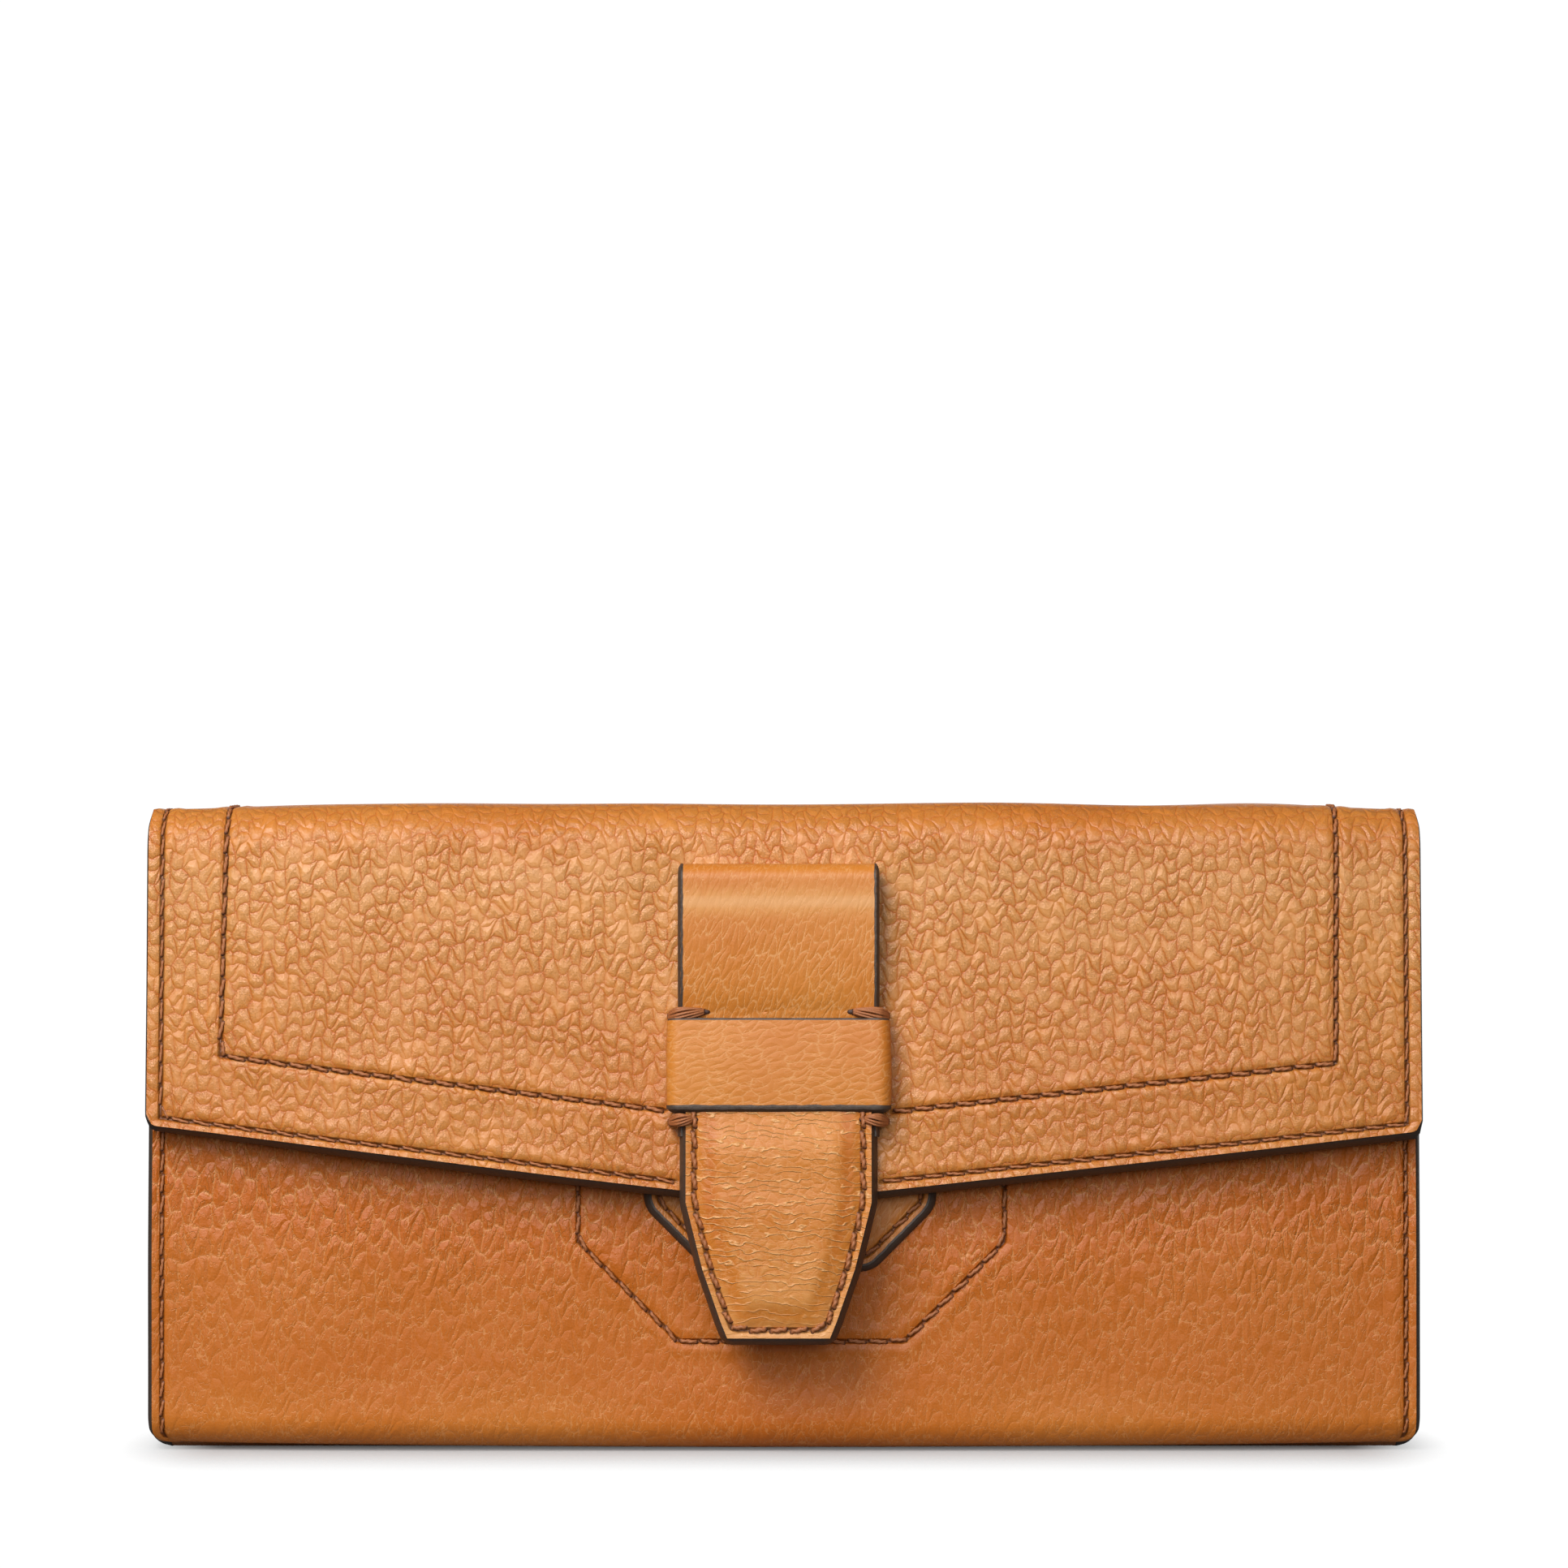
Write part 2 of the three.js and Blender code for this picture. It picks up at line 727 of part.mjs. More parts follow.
// One side of the chain: a strip with teeth that reach just past the middle.
function teethComb(sign, shift) {
  const tall = teethTopZ - teethBottomZ;
  const z = (teethTopZ + teethBottomZ) / 2;
  const stripY = zipY + sign * combOffset;
  const rootY = zipY + sign * (combOffset - 0.2);
  const toothY = rootY - (sign * toothReach) / 2;
  const teeth = [block(2 * zipHalfLength, combThickness, tall, 0, stripY, z)];
  for (let x = -zipHalfLength + 1 + shift; x < zipHalfLength - 0.4; x += toothPitch) {
    teeth.push(block(toothWidth, toothReach, tall, x, toothY, z));
  }
  return wasm.Manifold.union(teeth);
}

function addZipChain() {
  piece("zip_teeth_front", teethComb(-1, 0), brass, back);
  piece("zip_teeth_back", teethComb(1, toothPitch / 2), brass, back);
  for (const [side, sign] of sides) {
    const stop = block(...stopSize, sign * stopX, zipY, stopZ);
    piece(`zip_stop_${side}`, stop, brass, back);
  }
}

function addSlider() {
  zipSlider.position.set(sliderX, zipY, 0);
  const plateOutline = [
    [-sliderHalfLength, -1.3],
    [-2.5, -2.0],
    [3.2, -2.0],
    [sliderHalfLength, -1.2],
    [sliderHalfLength, 1.2],
    [3.2, 2.0],
    [-2.5, 2.0],
    [-sliderHalfLength, 1.3],
  ];
  const bridge = [
    [-3.3, 72.5],
    [-2.5, 72.5],
    [-2.5, 74.4],
    [-1.9, 75.0],
    [1.9, 75.0],
    [2.5, 74.4],
    [2.5, 72.5],
    [3.3, 72.5],
    [3.3, 74.8],
    [2.4, 75.7],
    [-2.4, 75.7],
    [-3.3, 74.8],
  ];
  const plate = alongZ(plateOutline, ...sliderPlateZ);
  piece("slider_top", plate.add(alongY(bridge, -bridgeHalfWidth, bridgeHalfWidth)), brass, zipSlider);
  piece("slider_bottom", block(...sliderUnderSize, 0, 0, sliderUnderZ), brass, zipSlider);
}

// The puller hangs on the slider's bridge: an eye of metal with a leather tab over its blade.
function addPuller() {
  zipPuller.position.set(sliderX, zipY, pullerPivotZ);
  const eyeHole = block(3.3, 2.3, 2, -2.05, 0, 0);
  const eye = block(4.9, 4.0, pullerThickness, -2.05, 0, 0).subtract(eyeHole);
  const neck = block(3.6, 2.4, pullerThickness, -6.1, 0, 0);
  const blade = block(4.0, 1.6, 0.5, -9.5, 0, 0);
  piece("puller_link", eye.add(neck).add(blade), brass, zipPuller);
  const tab = roundedBox(3.7, -1.8, 1.8, 0.9).map(([x, y]) => [x - 11.9, y]);
  const slot = block(4.5, 2.1, 0.9, -9.7, 0, 0);
  piece("puller_tab", alongZ(tab, -0.85, 0.85).subtract(slot), smoothLeather, zipPuller);
}

addBack();
addTopSpine();
addFlap();
addStrap();
addSnapSocket();
addTongue();
addFront();
addFrontSeams();
addSnapStud();
addPocketWall();
addCardSlots();
addGussets();
addZipTapes();
addZipChain();
addSlider();
addPuller();

export default wallet;
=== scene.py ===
"""The looks of a long leather wallet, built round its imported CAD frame.

Shapes are worked out in millimetres and written to Blender in metres. Most pieces are sheets laid on a route:
a side profile of the body. A point of a sheet is (across, along, depth), and depth is counted inwards.
"""

import math

import bmesh
import bpy
import numpy as np
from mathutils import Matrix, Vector


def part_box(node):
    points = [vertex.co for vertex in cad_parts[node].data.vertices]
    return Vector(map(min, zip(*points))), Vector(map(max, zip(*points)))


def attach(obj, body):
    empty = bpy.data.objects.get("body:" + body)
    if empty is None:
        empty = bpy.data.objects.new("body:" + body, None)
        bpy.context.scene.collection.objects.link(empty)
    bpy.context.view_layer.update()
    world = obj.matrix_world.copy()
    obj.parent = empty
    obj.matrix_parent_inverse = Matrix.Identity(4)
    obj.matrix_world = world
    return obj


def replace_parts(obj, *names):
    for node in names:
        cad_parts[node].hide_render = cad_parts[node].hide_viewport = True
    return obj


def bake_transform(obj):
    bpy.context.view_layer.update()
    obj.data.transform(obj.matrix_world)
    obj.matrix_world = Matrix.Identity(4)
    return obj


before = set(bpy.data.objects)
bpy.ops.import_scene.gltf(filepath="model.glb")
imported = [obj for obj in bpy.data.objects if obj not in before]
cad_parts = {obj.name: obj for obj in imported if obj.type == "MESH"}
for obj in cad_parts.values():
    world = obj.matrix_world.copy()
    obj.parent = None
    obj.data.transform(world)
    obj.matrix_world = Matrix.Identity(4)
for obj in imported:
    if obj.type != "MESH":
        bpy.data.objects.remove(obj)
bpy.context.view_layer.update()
MM = 0.001


def cad_box(node):
    """The CAD node's corners in millimetres."""
    low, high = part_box(node)
    return np.array(low) / MM, np.array(high) / MM


# ---------- dimensions, from the frame where it has them ----------

BODY_HALF = cad_box("front_leather")[1][0]
FLAP_HALF = cad_box("flap_leather")[1][0]
HEIGHT = cad_box("spine_leather")[1][2]
BACK_Y = cad_box("back_panel")[1][1]
FRONT_Y = cad_box("front_leather")[0][1]
FRONT_TOP = cad_box("front_leather")[1][2]
FLAP_TIP = cad_box("flap_leather")[0][2]
TONGUE_TIP = cad_box("tongue_face")[0][2]
POCKET_TOP = cad_box("pocket_wall")[1][2]
SHOULDER_R = 6.0
BROW_R = 7.0
BROW_Y = -4.73
BROW_SWEEP = 84.5
FLAP_LEAN = math.radians(90 - BROW_SWEEP)
HEEL_R = 4.0
TOE_R = 4.5
BASE_HALF = 6.5
FRONT_LEAN = 4.2
FRONT_BEND_R = 80.0
FRONT_BEND_Z = 26.0
LEATHER = (0.0, 1.3)
FILLER = (1.35, 1.95)
LINING = (2.0, 2.7)
SHEET = 2.7
FLAP_SLOPE = 0.108
STRAP_Z = 58.2
STRAP_X = -0.8
SNAP_Z = 49.0
SAME_PLACE = 1e-6


# ---------- small sums ----------


def smooth(low, high, value):
    t = np.clip((np.asarray(value, float) - low) / (high - low), 0, 1)
    return t * t * (3 - 2 * t)


def arc(centre, radius, start, stop, steps=24):
    angle = np.radians(np.linspace(start, stop, steps + 1))
    return np.c_[centre[0] + radius * np.cos(angle), centre[1] + radius * np.sin(angle)]


def waves(seed, count, short, long):
    """Random directions, lengths and phases for a soft wavy surface."""
    rng = np.random.default_rng(seed)
    length = rng.uniform(short, long, count)
    turn = rng.uniform(0, math.tau, count)
    return np.cos(turn) / length, np.sin(turn) / length, rng.uniform(0, math.tau, count)


def wavy(table, u, v):
    """The soft wavy surface at (u, v), about -1 to 1."""
    total = sum(np.sin(math.tau * (a * u + b * v) + c) for a, b, c in zip(*table))
    return total / math.sqrt(2 * len(table[0]))


def run_of(line):
    """How far along a line of points each of its points is."""
    return np.r_[0, np.cumsum(np.hypot(*np.diff(line, axis=0).T))]


class Route:
    """A side profile with its outside on the right: distance along it gives a place and an outward normal."""

    def __init__(self, points, step=0.2):
        points = np.asarray(points, float)
        points = points[np.r_[True, np.diff(run_of(points)) > SAME_PLACE]]
        run = run_of(points)
        self.length = run[-1]
        self.s = np.linspace(0, self.length, int(self.length / step) + 1)
        self.u = np.interp(self.s, run, points[:, 0])
        self.v = np.interp(self.s, run, points[:, 1])
        du, dv = np.gradient(self.u, self.s), np.gradient(self.v, self.s)
        size = np.hypot(du, dv)
        self.nu, self.nv = dv / size, -du / size

    def at(self, s, depth):
        """The place at distance s, moved in by depth. It runs on straight past both ends."""
        s = np.asarray(s, float)
        over = s - np.clip(s, 0, self.length)
        u, v, nu, nv = (np.interp(s, self.s, a) for a in (self.u, self.v, self.nu, self.nv))
        return u - nv * over - depth * nu, v + nu * over - depth * nv


# ---------- the body's route: down the front, round the base, up the back and down the flap ----------

toe = (-BASE_HALF, TOE_R)
bend = arc((FRONT_Y + FRONT_BEND_R, FRONT_BEND_Z), FRONT_BEND_R, 180 - FRONT_LEAN, 180)
front_rise = FRONT_TOP - bend[0][1]
front_top = (bend[0][0] + math.tan(math.radians(FRONT_LEAN)) * front_rise, FRONT_TOP)
brow = arc((BROW_Y, HEIGHT - BROW_R), BROW_R, 90, 90 + BROW_SWEEP)
flap_root = brow[-1]


def flap_y(z):
    return flap_root[0] - math.tan(FLAP_LEAN) * (flap_root[1] - np.asarray(z, float))


sections = [
    [front_top],
    bend,
    arc(toe, TOE_R, 180, 270),
    arc((BASE_HALF, HEEL_R), HEEL_R, 270, 360),
    arc((BACK_Y - SHOULDER_R, HEIGHT - SHOULDER_R), SHOULDER_R, 0, 90),
    brow,
    [(flap_y(10.0), 10.0)],
]
body_route = Route(np.vstack(sections))


def along_at(low, high, z):
    """The distance along the body's route at height z, between two distances along it."""
    part = (body_route.s >= low) & (body_route.s <= high)
    zs, ss = body_route.v[part], body_route.s[part]
    order = np.argsort(zs)
    return np.interp(z, zs[order], ss[order])


def nearest(y, z):
    return body_route.s[np.argmin(np.hypot(body_route.u - y, body_route.v - z))]


S_TOE = nearest(toe[0] - TOE_R, toe[1])
S_BASE = nearest(0, 0)
S_HEEL = nearest(BACK_Y, HEEL_R)
S_SHOULDER = nearest(BACK_Y, HEIGHT - SHOULDER_R)
S_ROOF = nearest(0, HEIGHT)
S_BROW = nearest(*flap_root)


def front_s(z):
    return along_at(0, S_TOE, z)


def flap_s(z):
    return S_BROW + (flap_root[1] - np.asarray(z, float)) / math.cos(FLAP_LEAN)


# ---------- soft shape: the body narrows at its ends and its leather is never quite flat ----------

PINCH_SPAN = (66.0, 96.0)
PINCH_HEIGHTS = (70.0, HEIGHT)
PINCH = 0.17
PINCH_BEHIND = 0.02
MID_Y = -2.0
END_DROP = 0.9
CORNER_SPAN = (88.0, 95.3)
CORNER_R = 2.2
TOP_TUCK = 0.3
BASE_LIFT = 0.4
END_LIFT = 0.8
SOFTNESS = 0.22
SINK_BESIDE, SINK_ABOVE = 0.45, 0.35
body_waves = waves(3, 9, 24, 70)


def pinched(x, y, z):
    """The whole body's ends drawn together, in millimetres."""
    end = smooth(*PINCH_SPAN, np.abs(x))
    high = smooth(*PINCH_HEIGHTS, z)
    y = y + (MID_Y - y) * np.where(y < MID_Y, PINCH, PINCH_BEHIND) * end
    corner = smooth(*CORNER_SPAN, np.abs(x))
    rise = np.clip(CORNER_R - z, 0, CORNER_R)
    cut = CORNER_R - np.sqrt(CORNER_R**2 - rise**2)
    x = x - np.sign(x) * corner * (cut + TOP_TUCK * smooth(94, 97.2, z))
    lift = (BASE_LIFT + END_LIFT * (x / BODY_HALF) ** 2) * smooth(1, 6, np.abs(y)) * (1 - smooth(0, 16, z))
    z = z - END_DROP * end * high + lift
    return x, y, z


def relief(x, s):
    """How far the body's surface stands proud of its route: soft waves, with dips round the strap."""
    x, s = np.broadcast_arrays(np.asarray(x, float), np.asarray(s, float))
    on_base = smooth(S_TOE - 6, S_TOE, s) * (1 - smooth(S_HEEL, S_HEEL + 6, s))
    soft = SOFTNESS * wavy(body_waves, x, s) * (1 - on_base)
    z = flap_root[1] - (s - S_BROW) * math.cos(FLAP_LEAN)
    on_flap = smooth(S_BROW - 4, S_BROW + 8, s)
    from_strap = np.abs(x - STRAP_X)
    beside = np.exp(-(((from_strap - 18.5) / 2.8) ** 2)) * smooth(92, 84, z) * smooth(44, 54, z)
    above = np.exp(-((from_strap / 17.0) ** 4)) * np.exp(-(((z - 91.5) / 2.2) ** 2))
    return soft - on_flap * (SINK_BESIDE * beside + SINK_ABOVE * above)


def on_body(x, s, depth):
    y, z = body_route.at(s, depth - relief(x, s))
    x = np.broadcast_to(np.asarray(x, float), y.shape)
    return np.stack(pinched(x, y, z), -1)


# ---------- the strap's, tongue's and keeper's routes, on the flap's face ----------


def face_point(n, z):
    """A place n out from the flap's face, at the height z of the face."""
    z = np.asarray(z, float)
    y = flap_y(z) - np.asarray(n, float) * math.cos(FLAP_LEAN)
    return y, z + np.asarray(n, float) * math.sin(FLAP_LEAN)


def slab_route(points):
    """A route on the flap's face, given as (n, z) points with its outside on the right."""
    n, z = np.array(points, float).T
    return Route(np.c_[face_point(n, z)])


def on_route(route):
    """A place on the strap: across it, along its route, and into its thickness."""

    def place(x, s, depth):
        y, z = route.at(s, depth)
        return np.stack((np.broadcast_to(np.asarray(x, float) + STRAP_X, y.shape), y, z), -1)

    return place


# ---------- meshes ----------

NO_SEAM = 9.0
TINY = 1e-9
PAINT_STEPS = 8
PAINT_BOW = 1.5
STITCH_RINGS, STITCH_SIDES = 19, 10
STITCH_FILL = 0.97
STITCH_TWIST = 4.2
LEAN_SPREAD, LIFT_SPREAD = 0.35, 0.3
RAGGED = 0.07
GROOVE_WIDTH = 0.5
LIP_AT, LIP_WIDTH, LIP_SHARE = 1.4, 0.75, 0.6


def make_object(name, verts, faces, material, attributes, sharp=None):
    """A mesh object from millimetre points. attributes are named numbers or vectors, one per point.

    Shading breaks at edges sharper than sharp, in degrees.
    """
    mesh = bpy.data.meshes.new(name)
    mesh.from_pydata((np.asarray(verts) * MM).tolist(), [], faces)
    mesh.materials.append(material)
    mesh.polygons.foreach_set("use_smooth", [True] * len(mesh.polygons))
    for key, values in attributes.items():
        values = np.asarray(values, np.float32)
        kind, field = ("FLOAT", "value") if values.ndim == 1 else ("FLOAT_VECTOR", "vector")
        mesh.attributes.new(key, kind, "POINT").data.foreach_set(field, values.ravel())
    mesh.update()
    made = bpy.data.objects.new(name, mesh)
    bpy.context.scene.collection.objects.link(made)
    if sharp:
        mesh.set_sharp_from_angle(angle=math.radians(sharp))
    return made


def laid_out(flat, depths=(0, 0), seam=NO_SEAM, ring=NO_SEAM):
    """The leather attributes of an outer and an inner layer of points. Only the outer layer has seams."""
    count = len(flat)
    plain = np.full(count, NO_SEAM)
    return {
        "sheet": np.c_[np.tile(flat, (2, 1)), np.repeat(depths, count)],
        "seam": np.r_[np.broadcast_to(seam, count), plain],
        "ring": np.r_[np.broadcast_to(ring, count), plain],
    }


def grid_faces(rows, cols, start=0, wrap=False, flip=False):
    """Quads of a grid of points numbered row by row."""
    r, c = np.meshgrid(np.arange(rows - 1), np.arange(cols if wrap else cols - 1), indexing="ij")
    a = start + r * cols + c
    b = start + r * cols + (c + 1) % cols
    quads = np.stack((a, b, b + cols, a + cols), -1).reshape(-1, 4)
    return quads[:, ::-1] if flip else quads


def join_layers(ids, count):
    """Quads that join a closed line of an outer layer's points to the same line of the inner layer."""
    after = np.roll(ids, -1)
    return np.stack((ids, ids + count, after + count, after), -1)


def sheet_faces(rows, cols):
    """Quads of an outer and an inner grid, joined round their outlines."""
    ids = np.arange(rows * cols).reshape(rows, cols)
    rim = np.r_[ids[0], ids[1:, -1], ids[-1, -2::-1], ids[-2:0:-1, 0]]
    count = rows * cols
    layers = (grid_faces(rows, cols), grid_faces(rows, cols, count, flip=True))
    return np.vstack((*layers, join_layers(rim, count)))


def ring_faces(rows, cols):
    """Quads of an outer and an inner grid that run round in a ring, joined along their last row."""
    count = rows * cols
    layers = [grid_faces(rows, cols, start, True, flip) for start, flip in ((0, False), (count, True))]
    return np.vstack((*layers, join_layers(np.arange(count - cols, count), count)[:, ::-1]))


def end_caps(rows, cols):
    """The two faces that close the ends of a tube of rings of points."""
    last = (rows - 1) * cols
    return [list(range(cols))[::-1], list(range(last, last + cols))]


def outward(verts, quads, caps=()):
    """All faces of a closed mesh as a list, turned over if the mesh is inside out."""
    corners = verts[quads] - verts.mean(0)
    a, b, c, d = (corners[:, i] for i in range(4))
    volume = np.einsum("ij,ij->", a, np.cross(b, c)) + np.einsum("ij,ij->", a, np.cross(c, d))
    faces = [*quads.tolist(), *caps]
    return faces if volume > 0 else [face[::-1] for face in faces]


def line_distance(points, line):
    """Distance from each (x, s) point to a line of (x, s) points, with a sign for the side."""
    best = np.full(len(points), np.inf)
    side = np.ones(len(points))
    for a, b in zip(line[:-1], line[1:]):
        a, b = np.array(a, float), np.array(b, float)
        t = np.clip((points - a) @ (b - a) / ((b - a) @ (b - a)), 0, 1)
        off = points - (a + t[:, None] * (b - a))
        size = np.hypot(*off.T)
        cross = (b - a)[0] * off[:, 1] - (b - a)[1] * off[:, 0]
        side = np.where(size < best, np.sign(cross), side)
        best = np.minimum(best, size)
    return best, side


def sheet(name, grid, depths, place, material, seams=(), ring=None, groove=0.28, swell=0.0, looks=None):
    """A closed sheet over a grid: an outer face, an inner face and a turned edge between them.

    grid is (across, along) in millimetres. seams are lines that the outer face sinks under. ring is one
    closed seam. swell is a grid of extra height of the outer face. looks are more grids for the material.
    """
    shape = grid[0].shape
    outer, inner = depths
    flat = np.c_[grid[0].ravel(), grid[1].ravel()]
    seam = np.full(len(flat), NO_SEAM)
    for line in seams:
        seam = np.minimum(seam, line_distance(flat, line)[0])
    loop = NO_SEAM if ring is None else np.prod(line_distance(flat, [*ring, ring[0]]), 0)
    near = np.minimum(seam, np.abs(loop))
    lip = LIP_SHARE * np.exp(-(((near - LIP_AT) / LIP_WIDTH) ** 2))
    dip = groove * (np.exp(-((near / GROOVE_WIDTH) ** 2)) - lip)
    raised = np.broadcast_to(swell, shape).ravel()
    verts = np.vstack((place(*flat.T, outer + dip - raised), place(*flat.T, np.full(len(flat), inner))))
    attributes = laid_out(flat, depths, seam, loop)
    for key, values in (looks or {}).items():
        attributes[key] = np.tile(np.broadcast_to(values, shape).ravel(), 2)
    return make_object(name, verts, outward(verts, sheet_faces(*shape)), material, attributes, 50)


def normals_of(line, closed):
    """Unit normals on the left of a line of (x, s) points, mitred at its corners."""
    step = np.roll(line, -1, 0) - line
    if not closed:
        step[-1] = step[-2]
    step /= np.maximum(np.hypot(*step.T), TINY)[:, None]
    left = np.c_[-step[:, 1], step[:, 0]]
    before = np.roll(left, 1, 0)
    if not closed:
        before[0] = left[0]
    total = left + before
    return total / np.maximum(0.5, np.einsum("ij,ij->i", left, total))[:, None]


def even_points(line, count):
    """The line as a number of evenly spaced points."""
    run = run_of(line)
    s = np.linspace(0, run[-1], count)
    return np.c_[np.interp(s, run, line[:, 0]), np.interp(s, run, line[:, 1])]


def resample(line, step, closed=False):
    """Points along a line, about a step apart."""
    line = np.asarray([*line, line[0]] if closed else line, float)
    points = even_points(line, max(2, int(round(run_of(line)[-1] / step))) + 1)
    return points[:-1] if closed else points


def smooth_line(line):
    """The line with its corners cut, three times over."""
    line = np.array(line, float)
    for _ in range(3):
        a = line[:-1] * 0.75 + line[1:] * 0.25
        b = line[:-1] * 0.25 + line[1:] * 0.75
        line = np.vstack((line[:1], np.stack((a, b), 1).reshape(-1, 2), line[-1:]))
    return line


def rounded(line, reach):
    """A closed line with each of its corners turned into a curve that starts a reach away from it."""
    line = np.array(line, float)
    t = np.linspace(0, 1, 7)[:, None]
    points = []
    for before, corner, after in zip(np.roll(line, 1, 0), line, np.roll(line, -1, 0)):
        start = corner + (before - corner) * reach / math.dist(before, corner)
        stop = corner + (after - corner) * reach / math.dist(after, corner)
        points.append((1 - t) ** 2 * start + 2 * t * (1 - t) * corner + t**2 * stop)
    return np.vstack(points)


def edge_paint(name, line, depths, reach, place, seed, closed=False, step=0.7):
    """Painted edge along a line of (x, s) points: it slopes from the outer face out to the inner face's edge.

    The line is where the paint starts on the outer face, and the edge lies on the line's left. reach is how
    far out it goes: a number, or a function of the line's points.
    """
    line = resample(line, step, closed)
    left = normals_of(line, closed)
    outer, inner = depths
    reach = reach(*line.T) if callable(reach) else np.full(len(line), reach)
    run = np.arange(len(line)) * step
    ragged = RAGGED * wavy(waves(seed, 7, 1.3, 5.0), run, 0 * run)
    t = np.linspace(0, 1, PAINT_STEPS + 1)
    bow = (1 - (1 - t) ** PAINT_BOW) ** (1 / PAINT_BOW)
    out = np.r_[0.0, 0.0, bow, 0.55, 0.0, 0.0]
    tuck = np.r_[-0.3, 0.0, 0 * bow, 0.0, -0.4, -0.4]
    low = outer - 0.05 + t * (inner - outer + 0.02)
    low = np.r_[outer - 0.02, outer - 0.05, low, inner + 0.02, inner + 0.02, (outer + inner) / 2]
    rows, ring = len(line), len(out)
    shift = np.where(np.arange(ring) < 3, ragged[:, None], 0) + tuck + reach[:, None] * out
    x, s = (line[:, i : i + 1] + left[:, i : i + 1] * shift for i in range(2))
    points = [values.ravel() for values in (x, s, np.broadcast_to(low, x.shape))]
    verts = place(*points)
    quads = grid_faces(rows, ring, wrap=True)
    caps = end_caps(rows, ring)
    if closed:
        last, first = (start + np.arange(ring) for start in ((rows - 1) * ring, 0))
        quads = np.vstack((quads, np.stack((last, np.roll(last, -1), np.roll(first, -1), first), -1)))
        caps = ()
    return make_object(name, verts, outward(verts, quads, caps), paint, {"sheet": np.stack(points, -1)}, 40)


def stitches(name, line, place, seed, closed=False, radius=0.27, pitch=3.15, proud=0.08, tilt=0.2):
    """A row of stitches of two-ply thread, each diving into the leather at both ends."""
    line = resample(line, pitch, closed)
    ends = np.vstack((line, line[:1])) if closed else line
    start, stop = ends[:-1], ends[1:]
    rng = np.random.default_rng(seed)
    middle, half = (start + stop) / 2, (stop - start) / 2 * STITCH_FILL
    step = stop - start
    left = np.c_[-step[:, 1], step[:, 0]] / np.hypot(*step.T)[:, None]
    lean = tilt * (1 + LEAN_SPREAD * rng.standard_normal(len(middle)))
    t = np.linspace(-1, 1, STITCH_RINGS)
    centre = middle[:, None] + half[:, None] * t[None, :, None]
    centre = centre + left[:, None] * (lean[:, None] * t)[:, :, None]
    lift = proud * (1 + LIFT_SPREAD * rng.standard_normal(len(middle)))
    depth = -lift[:, None] * (1 - t**2) + 0.5 * np.abs(t) ** 6
    angle = np.linspace(0, math.tau, STITCH_SIDES, endpoint=False)
    girth = radius * (0.72 + 0.28 * np.sqrt(1 - 0.96 * t**2))
    size = girth[:, None] * (1 + 0.24 * np.cos(2 * (angle[None, :] - STITCH_TWIST * t[:, None])))
    x, s = (centre[..., i, None] + left[:, i, None, None] * np.cos(angle) * size for i in range(2))
    points = [values.ravel() for values in (x, s, depth[..., None] - np.sin(angle) * size)]
    verts = place(*points)
    block = STITCH_RINGS * STITCH_SIDES
    quads = grid_faces(STITCH_RINGS, STITCH_SIDES, wrap=True)
    one = outward(verts[:block], quads, end_caps(STITCH_RINGS, STITCH_SIDES))
    faces = [[i + k * block for i in face] for k in range(len(middle)) for face in one]
    along = np.broadcast_to(t[None, :, None], x.shape).ravel()
    return make_object(name, verts, faces, thread, {"sheet": np.stack(points, -1), "strand": along})


# ---------- materials ----------


